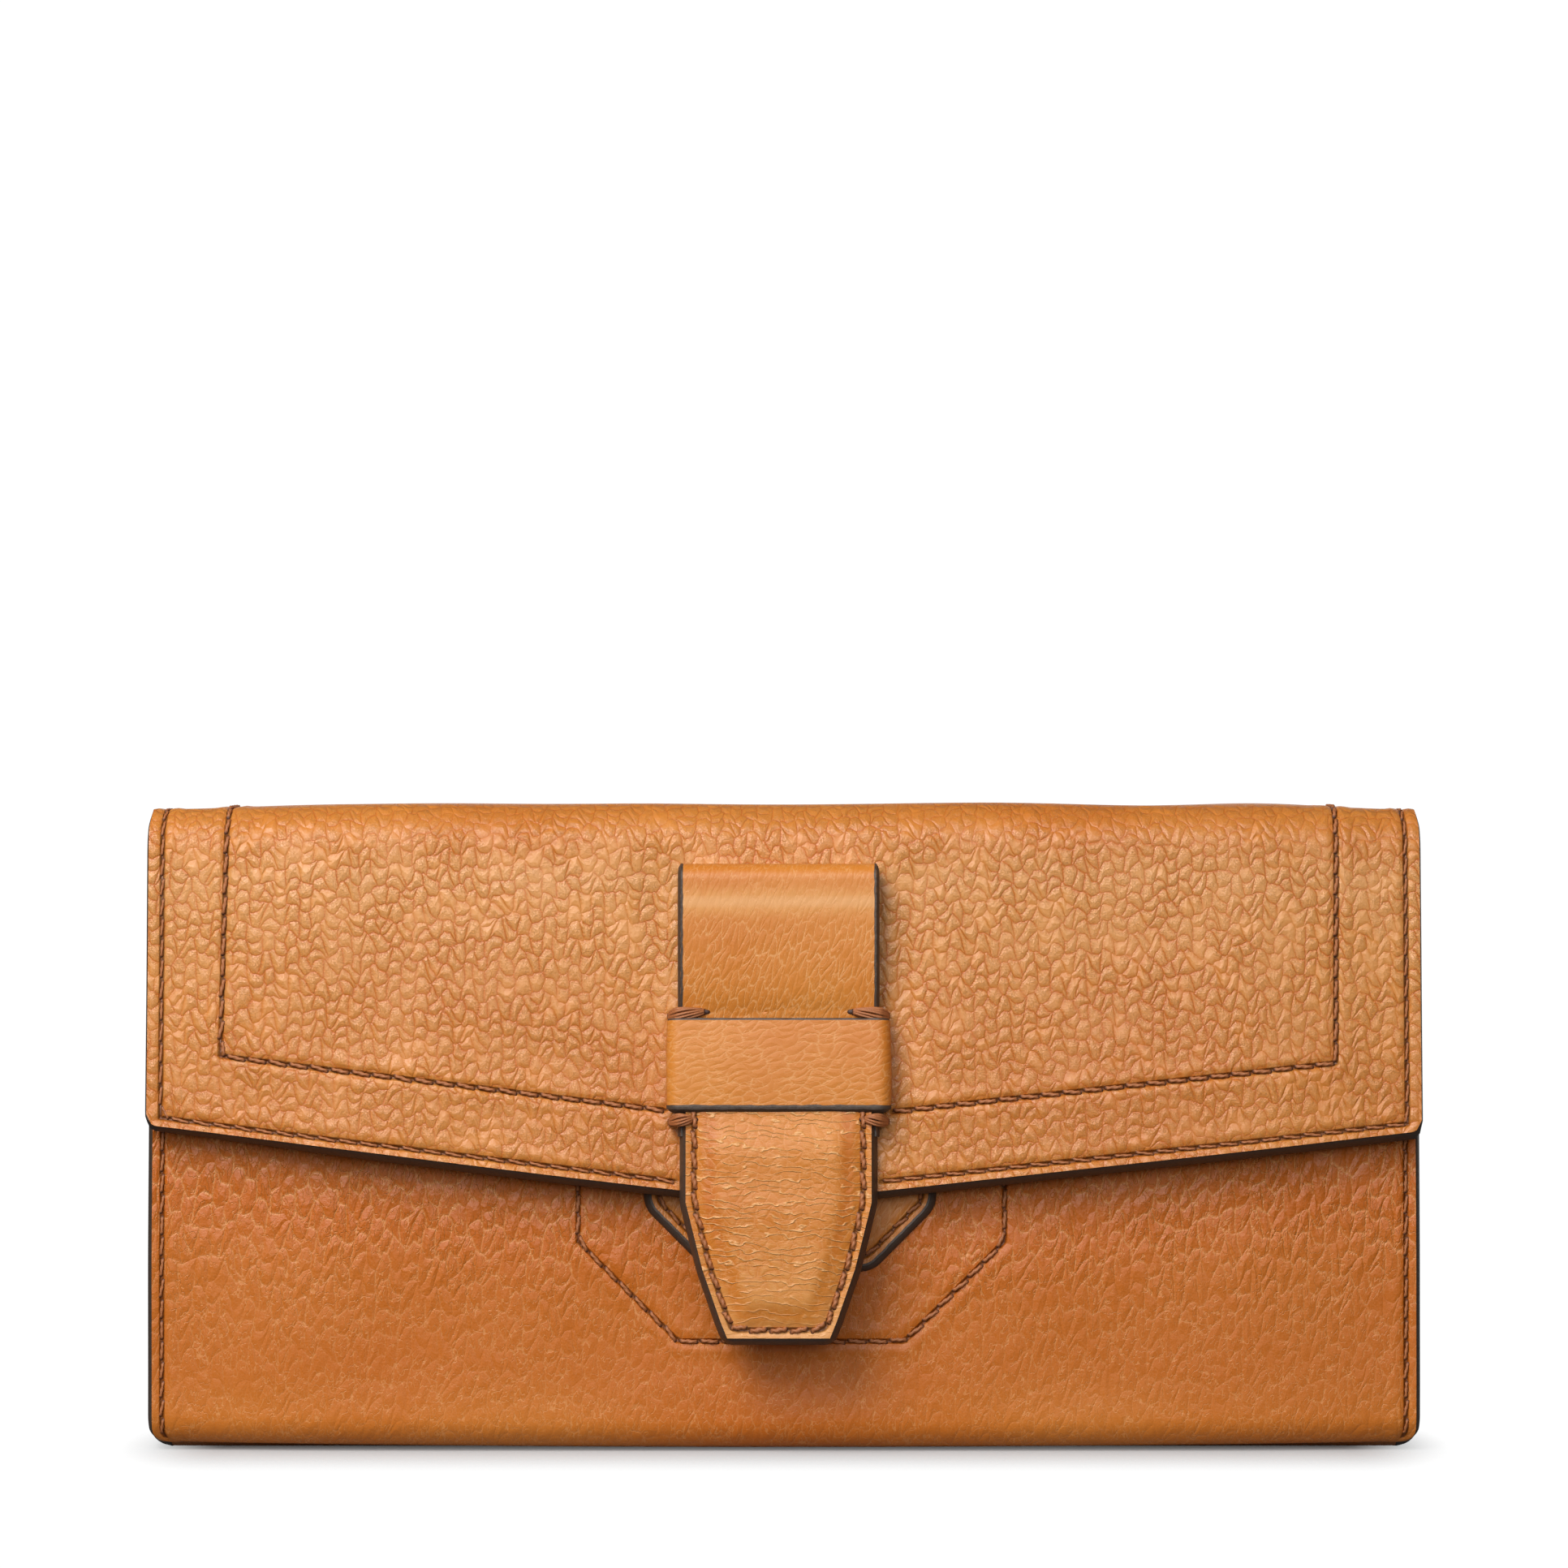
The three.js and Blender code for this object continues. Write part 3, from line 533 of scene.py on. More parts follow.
class Shader:
    """A node material, with a short way to add and join its nodes."""

    def __init__(self, name, roughness, metallic=0.0, specular=0.5):
        self.material = bpy.data.materials.new(name)
        self.material.use_nodes = True
        self.tree = self.material.node_tree
        self.surface = self.tree.nodes["Principled BSDF"]
        self.surface.inputs["Metallic"].default_value = metallic
        self.surface.inputs["Specular IOR Level"].default_value = specular
        self.put(self.surface.inputs["Roughness"], roughness)
        self.place = self.attribute("sheet", "Vector")

    def put(self, socket, value):
        """Gives a socket a link, a number, a vector, or a colour of three numbers."""
        if isinstance(value, bpy.types.NodeSocket):
            self.tree.links.new(value, socket)
        else:
            socket.default_value = (*value, 1) if socket.type == "RGBA" else value

    def node(self, kind, inputs, output=0, **settings):
        made = self.tree.nodes.new("ShaderNode" + kind)
        for key, value in settings.items():
            setattr(made, key, value)
        for key, value in inputs.items():
            self.put(made.inputs[key], value)
        return made.outputs[output]

    def attribute(self, name, output="Fac"):
        return self.node("Attribute", {}, output, attribute_name=name)

    def math(self, operation, a, b=0.0, c=0.0):
        return self.node("Math", {0: a, 1: b, 2: c}, operation=operation)

    def times(self, a, b):
        return self.math("MULTIPLY", a, b)

    def less(self, a, b):
        return self.math("SUBTRACT", a, b)

    def size(self, value):
        return self.math("ABSOLUTE", value)

    def positive(self, value):
        return self.math("MAXIMUM", value, 0.0)

    def sum_of(self, a, share, b):
        """a times share, and b."""
        return self.math("MULTIPLY_ADD", a, share, b)

    def parts(self, vector, count=2):
        return [self.node("SeparateXYZ", {0: vector}, i) for i in range(count)]

    def scaled(self, vector, factors, shift=(0, 0, 0)):
        return self.node("Mapping", {"Vector": vector, "Scale": factors, "Location": shift})

    def noise(self, vector, scale, detail=2.0, output="Fac"):
        return self.node("TexNoise", {"Vector": vector, "Scale": scale, "Detail": detail}, output)

    def range(self, value, low, high, to_low=0.0, to_high=1.0, kind="SMOOTHSTEP"):
        inputs = {"Value": value, "From Min": low, "From Max": high, "To Min": to_low, "To Max": to_high}
        return self.node("MapRange", inputs, interpolation_type=kind)

    def mix(self, factor, a, b):
        return self.node("Mix", {0: factor, 6: a, 7: b}, 2, data_type="RGBA", blend_type="MIX")

    def dress(self, colour, height=None):
        """The surface's colour, and its bump from a height in millimetres."""
        self.put(self.surface.inputs["Base Color"], colour)
        if height is not None:
            inputs = {"Height": height, "Distance": MM, "Strength": 1.0}
            self.put(self.surface.inputs["Normal"], self.node("Bump", inputs, "Normal"))

    def warped(self, vector, scale, amount):
        """The vector moved about by noise, by up to about half the amount."""
        drift = self.noise(vector, scale, 2.0, "Color")
        centred = self.node("VectorMath", {0: drift, 1: (0.5, 0.5, 0.5)}, operation="SUBTRACT")
        moved = self.node("VectorMath", {0: centred, 3: amount}, operation="SCALE")
        return self.node("VectorMath", {0: vector, 1: moved}, operation="ADD")


TAN = (0.56, 0.165, 0.016)
TAN_LIGHT = (0.62, 0.215, 0.030)
# Painted sheen; TAN_SHEEN below is a painted highlight and TAN_SHADE a painted shade.
TAN_SOFT_SHEEN = (0.67, 0.285, 0.072)
# Painted shade in the creases between pebbles.
TAN_CREASE_SHADE = (0.55, 0.125, 0.006)
TAN_SHADE = (0.50, 0.115, 0.006)
# Painted highlight on wrinkles and creases, and the grain's own paler fibres.
TAN_GLINT_AND_FIBRE = (0.82, 0.43, 0.17)
TAN_SHEEN = (0.86, 0.52, 0.28)
# Painted shade in the seam grooves.
SEAM_SHADE = (0.10, 0.022, 0.004)
PAINT_DARK, PAINT_LIGHT = (0.044, 0.027, 0.018), (0.085, 0.056, 0.040)
# The third thread colour is painted shade where the thread goes down into the leather.
THREAD_DARK, THREAD_LIGHT, THREAD_HOLE_SHADE = (0.24, 0.065, 0.015), (0.52, 0.18, 0.05), (0.045, 0.011, 0.004)
BRASS_DARK, BRASS_LIGHT = (0.72, 0.50, 0.21), (0.86, 0.64, 0.30)


def pebbles(shader, bent, pebble):
    """How far each place is from the creases between pebbles, which stand in staggered columns."""
    u, v = shader.parts(shader.scaled(bent, (1 / pebble[0], 1 / pebble[1], 0)))
    column = shader.range(shader.math("PINGPONG", shader.math("ADD", u, 0.5), 1.0), 0.2, 0.8)
    cells = shader.node("CombineXYZ", {0: u, 1: shader.sum_of(column, -0.5, v)})
    inputs = {"Vector": cells, "Scale": 1.0, "Randomness": 0.8}
    return shader.node("TexVoronoi", inputs, "Distance", feature="DISTANCE_TO_EDGE", voronoi_dimensions="2D")


def long_creases(shader, bent, pitch, awake):
    """Broken creases that run across, a pitch apart."""
    run = shader.node("SeparateXYZ", {0: bent}, 1)
    run = shader.sum_of(shader.noise(shader.scaled(shader.place, (0.25, 0.5, 1)), 1.0), 3.5, run)
    wave = shader.size(shader.math("SINE", shader.times(run, math.pi / pitch)))
    broken = shader.noise(shader.scaled(shader.place, (0.22, 1.1, 1), (7, 3, 1)), 1.0)
    broken = shader.range(broken, 0.36, 0.52)
    return shader.times(shader.range(wave, 0.0, 0.45, 1.0, 0.0), shader.times(broken, awake))


def leather_tan(shader, slope):
    """The leather's colour before its creases, with painted light laid on from a point attribute: painted
    sheen where it is positive, less of it near the creases, a painted highlight where it is over one, and
    painted shade where it is negative.
    """
    painted_light = shader.attribute("painted_light")
    base = shader.mix(shader.range(shader.noise(shader.place, 0.03, 3.0), 0.3, 0.7), TAN, TAN_LIGHT)
    base = shader.mix(shader.positive(shader.sum_of(slope, -0.75, painted_light)), base, TAN_SOFT_SHEEN)
    base = shader.mix(shader.positive(shader.less(painted_light, 1.0)), base, TAN_SHEEN)
    return shader.mix(shader.positive(shader.times(painted_light, -1.0)), base, TAN_SHADE)


def leather(
    name, pebble, wrinkle, depth, turn=0, creases=0.1, glint=0.0, specular=0.25, rough=0.42, fine=0.015, pitch=0
):
    """Tanned leather: pebbles in staggered columns, parted by creases, with fine wavy wrinkles over them.

    pebble and wrinkle are sizes in millimetres, across and along, and turn is an angle in degrees. creases is
    how much painted shade deepens the colour in the valleys, and glint how much painted highlight lightens
    the crease lines. fine is the height of the finest grain. pitch is how far apart long creases run across,
    if there are any, and they take a painted highlight. A point attribute lays painted sheen and painted
    shade over it, and calm flattens it.
    """
    shader = Shader(name, rough, specular=specular)
    place, times, noise = shader.place, shader.times, shader.noise
    bend = min(pebble) / 2.1
    bent = shader.node("VectorRotate", {"Vector": place, "Angle": math.radians(turn)}, rotation_type="Z_AXIS")
    for scale, amount in ((0.1, 2.0), (0.5 / bend, 0.34 * bend), (1.9 / bend, 0.17 * bend)):
        bent = shader.warped(bent, scale, amount)
    gap = pebbles(shader, bent, pebble)
    awake = shader.less(1.0, shader.attribute("calm"))
    strong = times(shader.range(noise(place, 0.13, 3.0), 0.36, 0.6, 0.65, 1.0), awake)
    some = shader.range(noise(shader.scaled(place, (1, 1, 1), (31, 17, 5)), 0.3), 0.3, 0.5)
    grain = noise(place, 3.4, 5.0)
    dome = shader.math("POWER", shader.range(gap, 0.0, 0.5, kind="LINEAR"), 0.75)
    lifted = times(strong, depth)
    drawn = shader.scaled(bent, (1 / wrinkle[0], 1 / wrinkle[1], 0), (5.3, 2.9, 0))
    lines = shader.size(shader.less(noise(drawn, 1.0, 1.0), 0.5))
    thin = times(shader.range(lines, 0.0, 0.03, 1.0, 0.0), some)
    small = shader.sum_of(noise(bent, 1.6), 0.35, times(thin, -0.25))
    height = shader.sum_of(small, lifted, times(dome, lifted))
    crease = shader.range(gap, 0.0, 0.1, 1.0, 0.0)
    # Painted shade: the colour deepens in the creases between pebbles.
    valley_shade = times(times(crease, times(strong, some)), creases)
    colour = leather_tan(shader, times(shader.range(gap, 0.0, 0.34, 1.0, 0.0), strong))
    colour = shader.mix(valley_shade, colour, TAN_CREASE_SHADE)
    # Painted highlight on the crease lines and on the fine wavy wrinkles.
    wear_and_glint = times(times(crease, shader.range(grain, 0.3, 0.6, 0.3, 1.0)), times(some, glint))
    colour = shader.mix(times(wear_and_glint, awake), colour, TAN_GLINT_AND_FIBRE)
    colour = shader.mix(times(thin, 0.25), colour, TAN_GLINT_AND_FIBRE)
    if pitch:
        long = long_creases(shader, bent, pitch, awake)
        height = shader.sum_of(long, 1.6 * depth, height)
        # Painted highlight along the long creases.
        colour = shader.mix(times(long, 0.9), colour, TAN_GLINT_AND_FIBRE)
    # The grain's own paler fibres.
    colour = shader.mix(shader.range(grain, 0.35, 0.75, 0.0, 0.05), colour, TAN_GLINT_AND_FIBRE)
    seam = shader.math("MINIMUM", shader.attribute("seam"), shader.size(shader.attribute("ring")))
    groove = shader.range(seam, 0.05, 0.5, 1.0, 0.0)
    height = shader.sum_of(groove, -0.3, shader.sum_of(grain, fine, height))
    # Painted shade in the seam grooves.
    shader.dress(shader.mix(times(groove, 0.85), colour, SEAM_SHADE), height)
    shader.put(shader.surface.inputs["Roughness"], shader.range(grain, 0.3, 0.7, rough - 0.06, rough + 0.08))
    return shader.material


def paint_material():
    shader = Shader("edge_paint", 0.5, specular=0.3)
    grain = shader.noise(shader.place, 1.6, 4.0)
    shader.dress(shader.mix(grain, PAINT_DARK, PAINT_LIGHT), shader.times(grain, 0.07))
    return shader.material


def thread_material():
    """Thread with painted shade at each stitch's ends, where it goes down into the leather."""
    shader = Shader("thread", 0.62)
    fibres = shader.noise(shader.scaled(shader.place, (6, 6, 3)), 1.0, 3.0)
    # Painted shade towards each stitch's ends.
    end = shader.range(shader.size(shader.attribute("strand")), 0.62, 0.98)
    colour = shader.mix(end, shader.mix(fibres, THREAD_DARK, THREAD_LIGHT), THREAD_HOLE_SHADE)
    shader.dress(colour, shader.times(fibres, 0.05))
    return shader.material


def cloth_material(name, light, dark, pitch):
    """A plain weave of the given pitch in millimetres."""
    shader = Shader(name, 0.85, specular=0.25)
    turns = math.tau / pitch
    warp, weft = (shader.math("SINE", shader.times(part, turns)) for part in shader.parts(shader.place))
    height = shader.range(shader.times(warp, weft), -1.0, 1.0)
    shader.dress(shader.mix(height, dark, light), shader.times(height, 0.12))
    return shader.material


def metal_material():
    shader = Shader("brass", 0.24, 1.0)
    wear_and_glint = shader.noise(shader.place, 1.2, 4.0)
    scratches = shader.times(shader.noise(shader.place, 7.0), 0.006)
    shader.dress(shader.mix(wear_and_glint, BRASS_DARK, BRASS_LIGHT), scratches)
    shader.put(shader.surface.inputs["Roughness"], shader.range(wear_and_glint, 0.3, 0.7, 0.18, 0.34))
    return shader.material


grain_leather = leather(
    "grain_leather", (1.9, 2.2), (0.4, 0.35), 0.21, creases=0.9, specular=0.42, fine=0.035
)
body_leather = leather(
    "body_leather", (2.0, 3.6), (0.9, 1.8), 0.34, turn=-6, creases=0.8, glint=0.5, fine=0.03
)
strap_leather = leather("strap_leather", (1.1, 3.0), (0.7, 2.2), 0.07, turn=-20, glint=0.6, rough=0.4)
band_leather = leather("band_leather", (2.8, 1.1), (2.6, 0.8), 0.05, turn=14, glint=0.4)
tongue_leather = leather(
    "tongue_leather", (2.0, 1.4), (3.2, 0.7), 0.07, turn=4, creases=0.2, glint=0.3, rough=0.4, pitch=1.15
)
lining_leather = leather(
    "lining_leather", (1.1, 1.2), (0.9, 0.9), 0.02, creases=0.3, specular=0.3, rough=0.6, fine=0.01
)
paint = paint_material()
thread = thread_material()
tape_cloth = cloth_material("zip_tape_cloth", (0.44, 0.2, 0.07), (0.24, 0.09, 0.03), 0.55)
board = cloth_material("filler_board", (0.42, 0.36, 0.28), (0.3, 0.25, 0.2), 0.9)
brass = metal_material()


# ---------- the body: outer leather, fillers, linings and painted edges ----------

EDGE_REACH = 1.15
SKIN_INSET = EDGE_REACH - 0.15
FILLER_INSET = 4.0
FLAP_SIDE = 95.1
FLAP_PAINT = 0.4
FLAP_SKEW = 0.9
FLAP_CORNER = 1.6
BODY_SIDE = 94.7
BODY_PAINT = 0.85
PAINT_LAP = 0.05
SEAM_IN = 2.3
INNER_SEAM_X = (-83.1, 82.7)
INNER_SEAM_UP = 12.6
INNER_SEAM_GRID = (-83.6, 82.5)
INNER_SEAM_DOWN = 12.0
SEAM_MARGINS = (-0.9, -0.45, -0.2, 0.0, 0.2, 0.45, 0.9)
BACK_SEAM_X = BODY_SIDE - 1.5
FLAP_SEAM_X = FLAP_HALF - SEAM_IN
FLAP_SEAM_END = 15.3
OCT_HALF, OCT_CUT = 31.9, 14.95
OCT_X, OCT_Z = 1.1, 48.55
SIDES = {"left": -1, "right": 1}


def with_seams(low, high, step, seams=()):
    """Even values from low to high, with extra ones on both sides of each seam."""
    even = np.linspace(low, high, int(round((high - low) / step)) + 1)
    extra = np.array([value + margin for value in seams for margin in SEAM_MARGINS])
    extra = extra[(extra > low + 0.05) & (extra < high - 0.05)]
    clear = [v for v in even[1:-1] if not len(extra) or np.abs(extra - v).min() > 0.16]
    return np.sort(np.r_[low, high, clear, np.unique(np.round(extra, 3))])


def flap_end(x, inset=0.0, half=FLAP_SIDE):
    """How far along the route the flap's lower edge is, moved in by an inset. It hangs a little skew."""
    x = np.asarray(x, float)
    z = FLAP_TIP + FLAP_SLOPE * np.abs(x) + inset + FLAP_SKEW * smooth(15, FLAP_SIDE, -x)
    over = np.clip(np.abs(x) - (half - FLAP_CORNER), 0, FLAP_CORNER)
    return flap_s(z + FLAP_CORNER - np.sqrt(np.maximum(0, FLAP_CORNER**2 - over**2)))


def flap_grid(inset, step, half):
    """A grid over the flap and the front half of the top, its lower rows along the flap's edge."""
    xs = with_seams(-half, half, step, [-FLAP_SEAM_X, *INNER_SEAM_GRID, FLAP_SEAM_X])
    up = with_seams(0, 30, step, [SEAM_IN - inset, INNER_SEAM_UP - inset])
    share = np.linspace(0, 1, int(50 / step))[1:]
    low = flap_end(xs, inset, half) - up[:, None]
    along = np.vstack((low, low[-1] + (S_ROOF - low[-1]) * share[:, None]))[::-1]
    return np.broadcast_to(xs, along.shape), along


def strip_grid(half, low, high, step, seam_x=(), seam_s=()):
    return np.meshgrid(with_seams(-half, half, step, seam_x), with_seams(low, high, step, seam_s))


def seam_point(x, up):
    """A place on the flap, a little up from its lower edge."""
    return x, flap_end(x) - up


edge_seam = {
    side: [
        (sign * FLAP_SEAM_X, S_ROOF),
        seam_point(sign * FLAP_SEAM_X, SEAM_IN),
        (sign * FLAP_SEAM_END + STRAP_X, flap_end(sign * FLAP_SEAM_END) - SEAM_IN),
    ]
    for side, sign in SIDES.items()
}
inner_seam = {
    side: [(top_x, S_ROOF), seam_point(low_x, INNER_SEAM_UP), seam_point(end_x, INNER_SEAM_UP)]
    for side, top_x, low_x, end_x in (("left", -83.1, -84.1, -17.7), ("right", 82.7, 82.3, 16.1))
}


def octagon(half, cut, middle, centre_z):
    """An eight-sided line of (x, s) points on the front."""
    short = half - cut
    corners = [(-short, -half), (short, -half), (half, -short), (half, short)]
    corners += [(-x, -z) for x, z in corners]
    return [(middle + x, float(front_s(centre_z + z))) for x, z in corners]


def front_seam(low):
    """The front's row of stitches: up one side, along the top and down the other side."""
    return [(BACK_SEAM_X, low), (BACK_SEAM_X, SEAM_IN), (-BACK_SEAM_X, SEAM_IN), (-BACK_SEAM_X, low)]


octagon_line = octagon(OCT_HALF, OCT_CUT, OCT_X, OCT_Z)


def bend_back(piece):
    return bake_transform(piece)


def bend_flap(piece):
    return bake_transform(piece)


def bend_front(piece):
    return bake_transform(piece)


def flap_paint(x, s):
    """How far the paint reaches past the flap's leather: less at the sides than along the bottom."""
    low = EDGE_REACH * (1 - 0.3 * smooth(60, FLAP_SIDE, -x))
    return low + (FLAP_PAINT - low) * smooth(FLAP_SIDE - 1.0, FLAP_SIDE - 0.1, np.abs(x))


def body_paint(x, s):
    return EDGE_REACH + (BODY_PAINT - EDGE_REACH) * smooth(BODY_SIDE - 2, BODY_SIDE - 0.1, np.abs(x))


def flap_painted_light(s):
    """Painted sheen on the flap, strongest high up and fading out over the brow."""
    z = flap_root[1] - (s - S_BROW) * math.cos(FLAP_LEAN)
    over = smooth(S_BROW + 5, S_BROW - 6, s)
    return (0.3 + 0.8 * smooth(45, 93, z)) * (1 - over)


def front_painted_shade(x, s):
    """Painted shade over the whole front: most under the flap's edge and under the tongue, where their
    shadows fall, and less along the base.
    """
    z = body_route.at(s, 0.0)[1]
    edge = FLAP_TIP + FLAP_SLOPE * np.abs(x)
    under_flap = 0.4 * smooth(-20, -2, z - edge)
    base = -0.35 * smooth(14, 2, z)
    under_tongue = 0.5 * np.exp(-(((x - STRAP_X) / 20) ** 2)) * smooth(16, 3, z)
    return -np.minimum(1, 0.75 + under_flap + base + under_tongue)


def add_flap_body():
    grid = flap_grid(SKIN_INSET, 0.75, FLAP_SIDE)
    seams = [*edge_seam.values(), *inner_seam.values()]
    looks = {"painted_light": flap_painted_light(grid[1])}
    skin = sheet("flap_leather_skin", grid, LEATHER, on_body, grain_leather, seams, looks=looks)
    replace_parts(bend_flap(skin), "flap_leather")
    grid = flap_grid(FILLER_INSET, 3.0, FLAP_SIDE - FILLER_INSET)
    middle = sheet("flap_filler", grid, FILLER, on_body, board)
    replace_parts(bend_flap(middle), "flap_stiffener")
    under = sheet("flap_lining_skin", flap_grid(SKIN_INSET, 1.5, FLAP_SIDE), LINING, on_body, lining_leather)
    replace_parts(bend_flap(under), "flap_lining")
    corner = np.sin(np.linspace(0, math.pi / 2, 9)) * FLAP_CORNER + FLAP_SIDE - FLAP_CORNER
    xs = np.r_[-corner[::-1], np.linspace(-FLAP_SIDE + 2, FLAP_SIDE - 2, 80), corner]
    line = np.vstack(([(xs[0], S_ROOF)], np.c_[xs, flap_end(xs, EDGE_REACH)], [(xs[-1], S_ROOF)]))
    rim = edge_paint("flap_edge_paint", line, (0, SHEET), flap_paint, on_body, 5)
    bend_flap(rim)


def add_back_body():
    span = (S_BASE, S_ROOF)
    seams = [[(sign * BACK_SEAM_X, S_HEEL), (sign * BACK_SEAM_X, S_ROOF)] for sign in (-1, 1)]
    seams += [[(x, S_SHOULDER - INNER_SEAM_DOWN), (x, S_ROOF)] for x in INNER_SEAM_X]
    grid = strip_grid(BODY_SIDE, *span, 1.0, [-BACK_SEAM_X, *INNER_SEAM_X, BACK_SEAM_X])
    # Painted sheen on the back, turning to painted shade over the top.
    looks = {"painted_light": 0.3 - 0.8 * smooth(S_SHOULDER, S_ROOF - 4, grid[1])}
    skin = sheet("back_leather_skin", grid, LEATHER, on_body, grain_leather, seams, looks=looks)
    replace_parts(bend_back(skin), "back_panel", "spine_leather")
    grid = strip_grid(BODY_HALF - FILLER_INSET, *span, 4.0)
    middle = sheet("back_filler", grid, FILLER, on_body, board)
    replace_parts(bend_back(middle), "back_stiffener")
    under = sheet("back_lining_skin", strip_grid(BODY_SIDE, *span, 1.5), LINING, on_body, lining_leather)
    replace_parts(bend_back(under), "back_lining", "spine_lining")
    for side, sign in SIDES.items():
        line = [(sign * (BODY_SIDE - PAINT_LAP), end) for end in span[::sign]]
        rim = edge_paint(f"back_edge_paint_{side}", line[::-1], (0, SHEET), body_paint, on_body, 7)
        bend_back(rim)


def add_front_body():
    grid = strip_grid(BODY_SIDE, SKIN_INSET, S_BASE, 0.75, [-BACK_SEAM_X, BACK_SEAM_X], [SEAM_IN])
    calm = 0.7 * smooth(50, 10, body_route.at(grid[1], 0.0)[1])
    looks = {"painted_light": front_painted_shade(*grid), "calm": calm}
    seams = [front_seam(S_BASE - 9)]
    skin = sheet("front_leather_skin", grid, LEATHER, on_body, body_leather, seams, octagon_line, looks=looks)
    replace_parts(bend_front(skin), "front_leather")
    grid = strip_grid(BODY_HALF - FILLER_INSET, 3, S_TOE - 3, 4.0)
    middle = sheet("front_filler", grid, FILLER, on_body, board)
    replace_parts(bend_front(middle), "front_reinforcement")
    grid = strip_grid(BODY_SIDE, SKIN_INSET, S_BASE, 1.5)
    under = sheet("front_lining_skin", grid, LINING, on_body, lining_leather)
    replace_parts(bend_front(under), "front_lining")
    inner = BODY_SIDE - PAINT_LAP
    line = [(inner, S_BASE), (inner, EDGE_REACH), (-inner, EDGE_REACH), (-inner, S_BASE)]
    rim = edge_paint("front_edge_paint", line, (0, SHEET), body_paint, on_body, 9)
    bend_front(rim)


def add_body_threads():
    for seed, (side, sign) in enumerate(SIDES.items()):
        edge = stitches(f"flap_edge_stitches_{side}", edge_seam[side], on_body, seed, radius=0.2, proud=-0.06)
        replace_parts(bend_flap(edge), f"flap_edge_thread_{side}")
        inner = stitches(f"flap_inner_stitches_{side}", inner_seam[side], on_body, seed + 9)
        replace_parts(bend_flap(inner), f"flap_inner_thread_{side}")
        line = [(sign * BACK_SEAM_X, S_HEEL + 1), (sign * BACK_SEAM_X, S_ROOF)]
        rear = stitches(f"back_stitches_{side}", line, on_body, seed + 4, radius=0.22, proud=-0.04)
        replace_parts(bend_back(rear), f"back_thread_{side}", f"spine_thread_{side}")
        line = [(INNER_SEAM_X[seed], S_SHOULDER - INNER_SEAM_DOWN), (INNER_SEAM_X[seed], S_ROOF)]
        top = bend_back(stitches(f"top_inner_stitches_{side}", line, on_body, seed + 6))
    front = stitches("front_stitches", front_seam(S_BASE - 10), on_body, 21, radius=0.22, proud=-0.04)
    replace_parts(bend_front(front), "front_thread")
    loop = stitches("octagon_stitches", octagon_line, on_body, 22, True)
    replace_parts(bend_front(loop), "octagon_thread")


# ---------- the patch and the snap ----------

PATCH_HALF, PATCH_CUT = 21.9, 9.6
PATCH_X = 0.9
PATCH_ROUND = 1.8
PATCH_SEAM = 2.2
PATCH_EDGE = 0.9
PATCH_FACE = -1.15
PATCH_BACK = -0.02
PATCH_GROOVE = 0.22
TURNED_SIDES = 56


def patch_line(inset):
    """The patch's outline, moved in by an inset."""
    line = octagon(PATCH_HALF - inset, PATCH_CUT - (2 - math.sqrt(2)) * inset, PATCH_X, SNAP_Z)
    return rounded(line, max(0.5, PATCH_ROUND - 0.4 * inset))


def on_patch(x, s, depth):
    return on_body(x, s, depth + PATCH_FACE)


def add_patch():
    """The octagonal patch: rings of points from its middle to its edge."""
    outline = resample(patch_line(PATCH_EDGE - PAINT_LAP), 0.8, True)
    middle = outline.mean(0)
    shares = np.r_[0.12, np.linspace(0.2, 0.86, 12), np.linspace(0.88, 1.0, 7)]
    grid = middle + (outline[None] - middle) * shares[:, None, None]
    rows, cols = grid.shape[:2]
    flat = grid.reshape(-1, 2)
    seam = patch_line(PATCH_SEAM)
    size, side = line_distance(flat, [*seam, seam[0]])
    dip = PATCH_GROOVE * np.exp(-((size / GROOVE_WIDTH) ** 2))
    verts = np.vstack((on_patch(*flat.T, dip), on_body(*flat.T, np.full(len(flat), PATCH_BACK))))
    faces = outward(verts, ring_faces(rows, cols), end_caps(rows + 1, cols))
    data = laid_out(flat, ring=size * side)
    patch = make_object("closure_patch_skin", verts, faces, strap_leather, data, 50)
    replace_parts(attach(patch, "front_panel"), "closure_patch")
    depths = (PATCH_FACE, PATCH_BACK)
    rim = edge_paint("patch_edge_paint", patch_line(PATCH_EDGE), depths, PATCH_EDGE, on_body, 4, True, 0.5)
    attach(rim, "front_panel")
    sewn = stitches("patch_stitches", seam, on_patch, 31, True, 0.25, 2.9)
    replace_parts(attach(sewn, "front_panel"), "patch_thread")


def turned_piece(name, profile, y, lean):
    """A lathe-turned brass piece: (radius, height) points about a line out of the leather at (y, SNAP_Z)."""
    profile = np.array(profile, float)
    angle = np.linspace(0, math.tau, TURNED_SIDES, endpoint=False)
    out = np.array([0, -math.cos(lean), math.sin(lean)])
    up = np.array([0, math.sin(lean), math.cos(lean)])
    around = np.cos(angle)[:, None] * np.array([1.0, 0, 0]) + np.sin(angle)[:, None] * up
    verts = np.array([0, y, SNAP_Z]) + profile[:, 1, None, None] * out + profile[:, 0, None, None] * around
    verts = verts.reshape(-1, 3)
    rows = len(profile)
    quads = grid_faces(rows, TURNED_SIDES, wrap=True)
    faces = outward(verts, quads, end_caps(rows, TURNED_SIDES))
    return make_object(name, verts, faces, brass, {"sheet": verts}, 35)


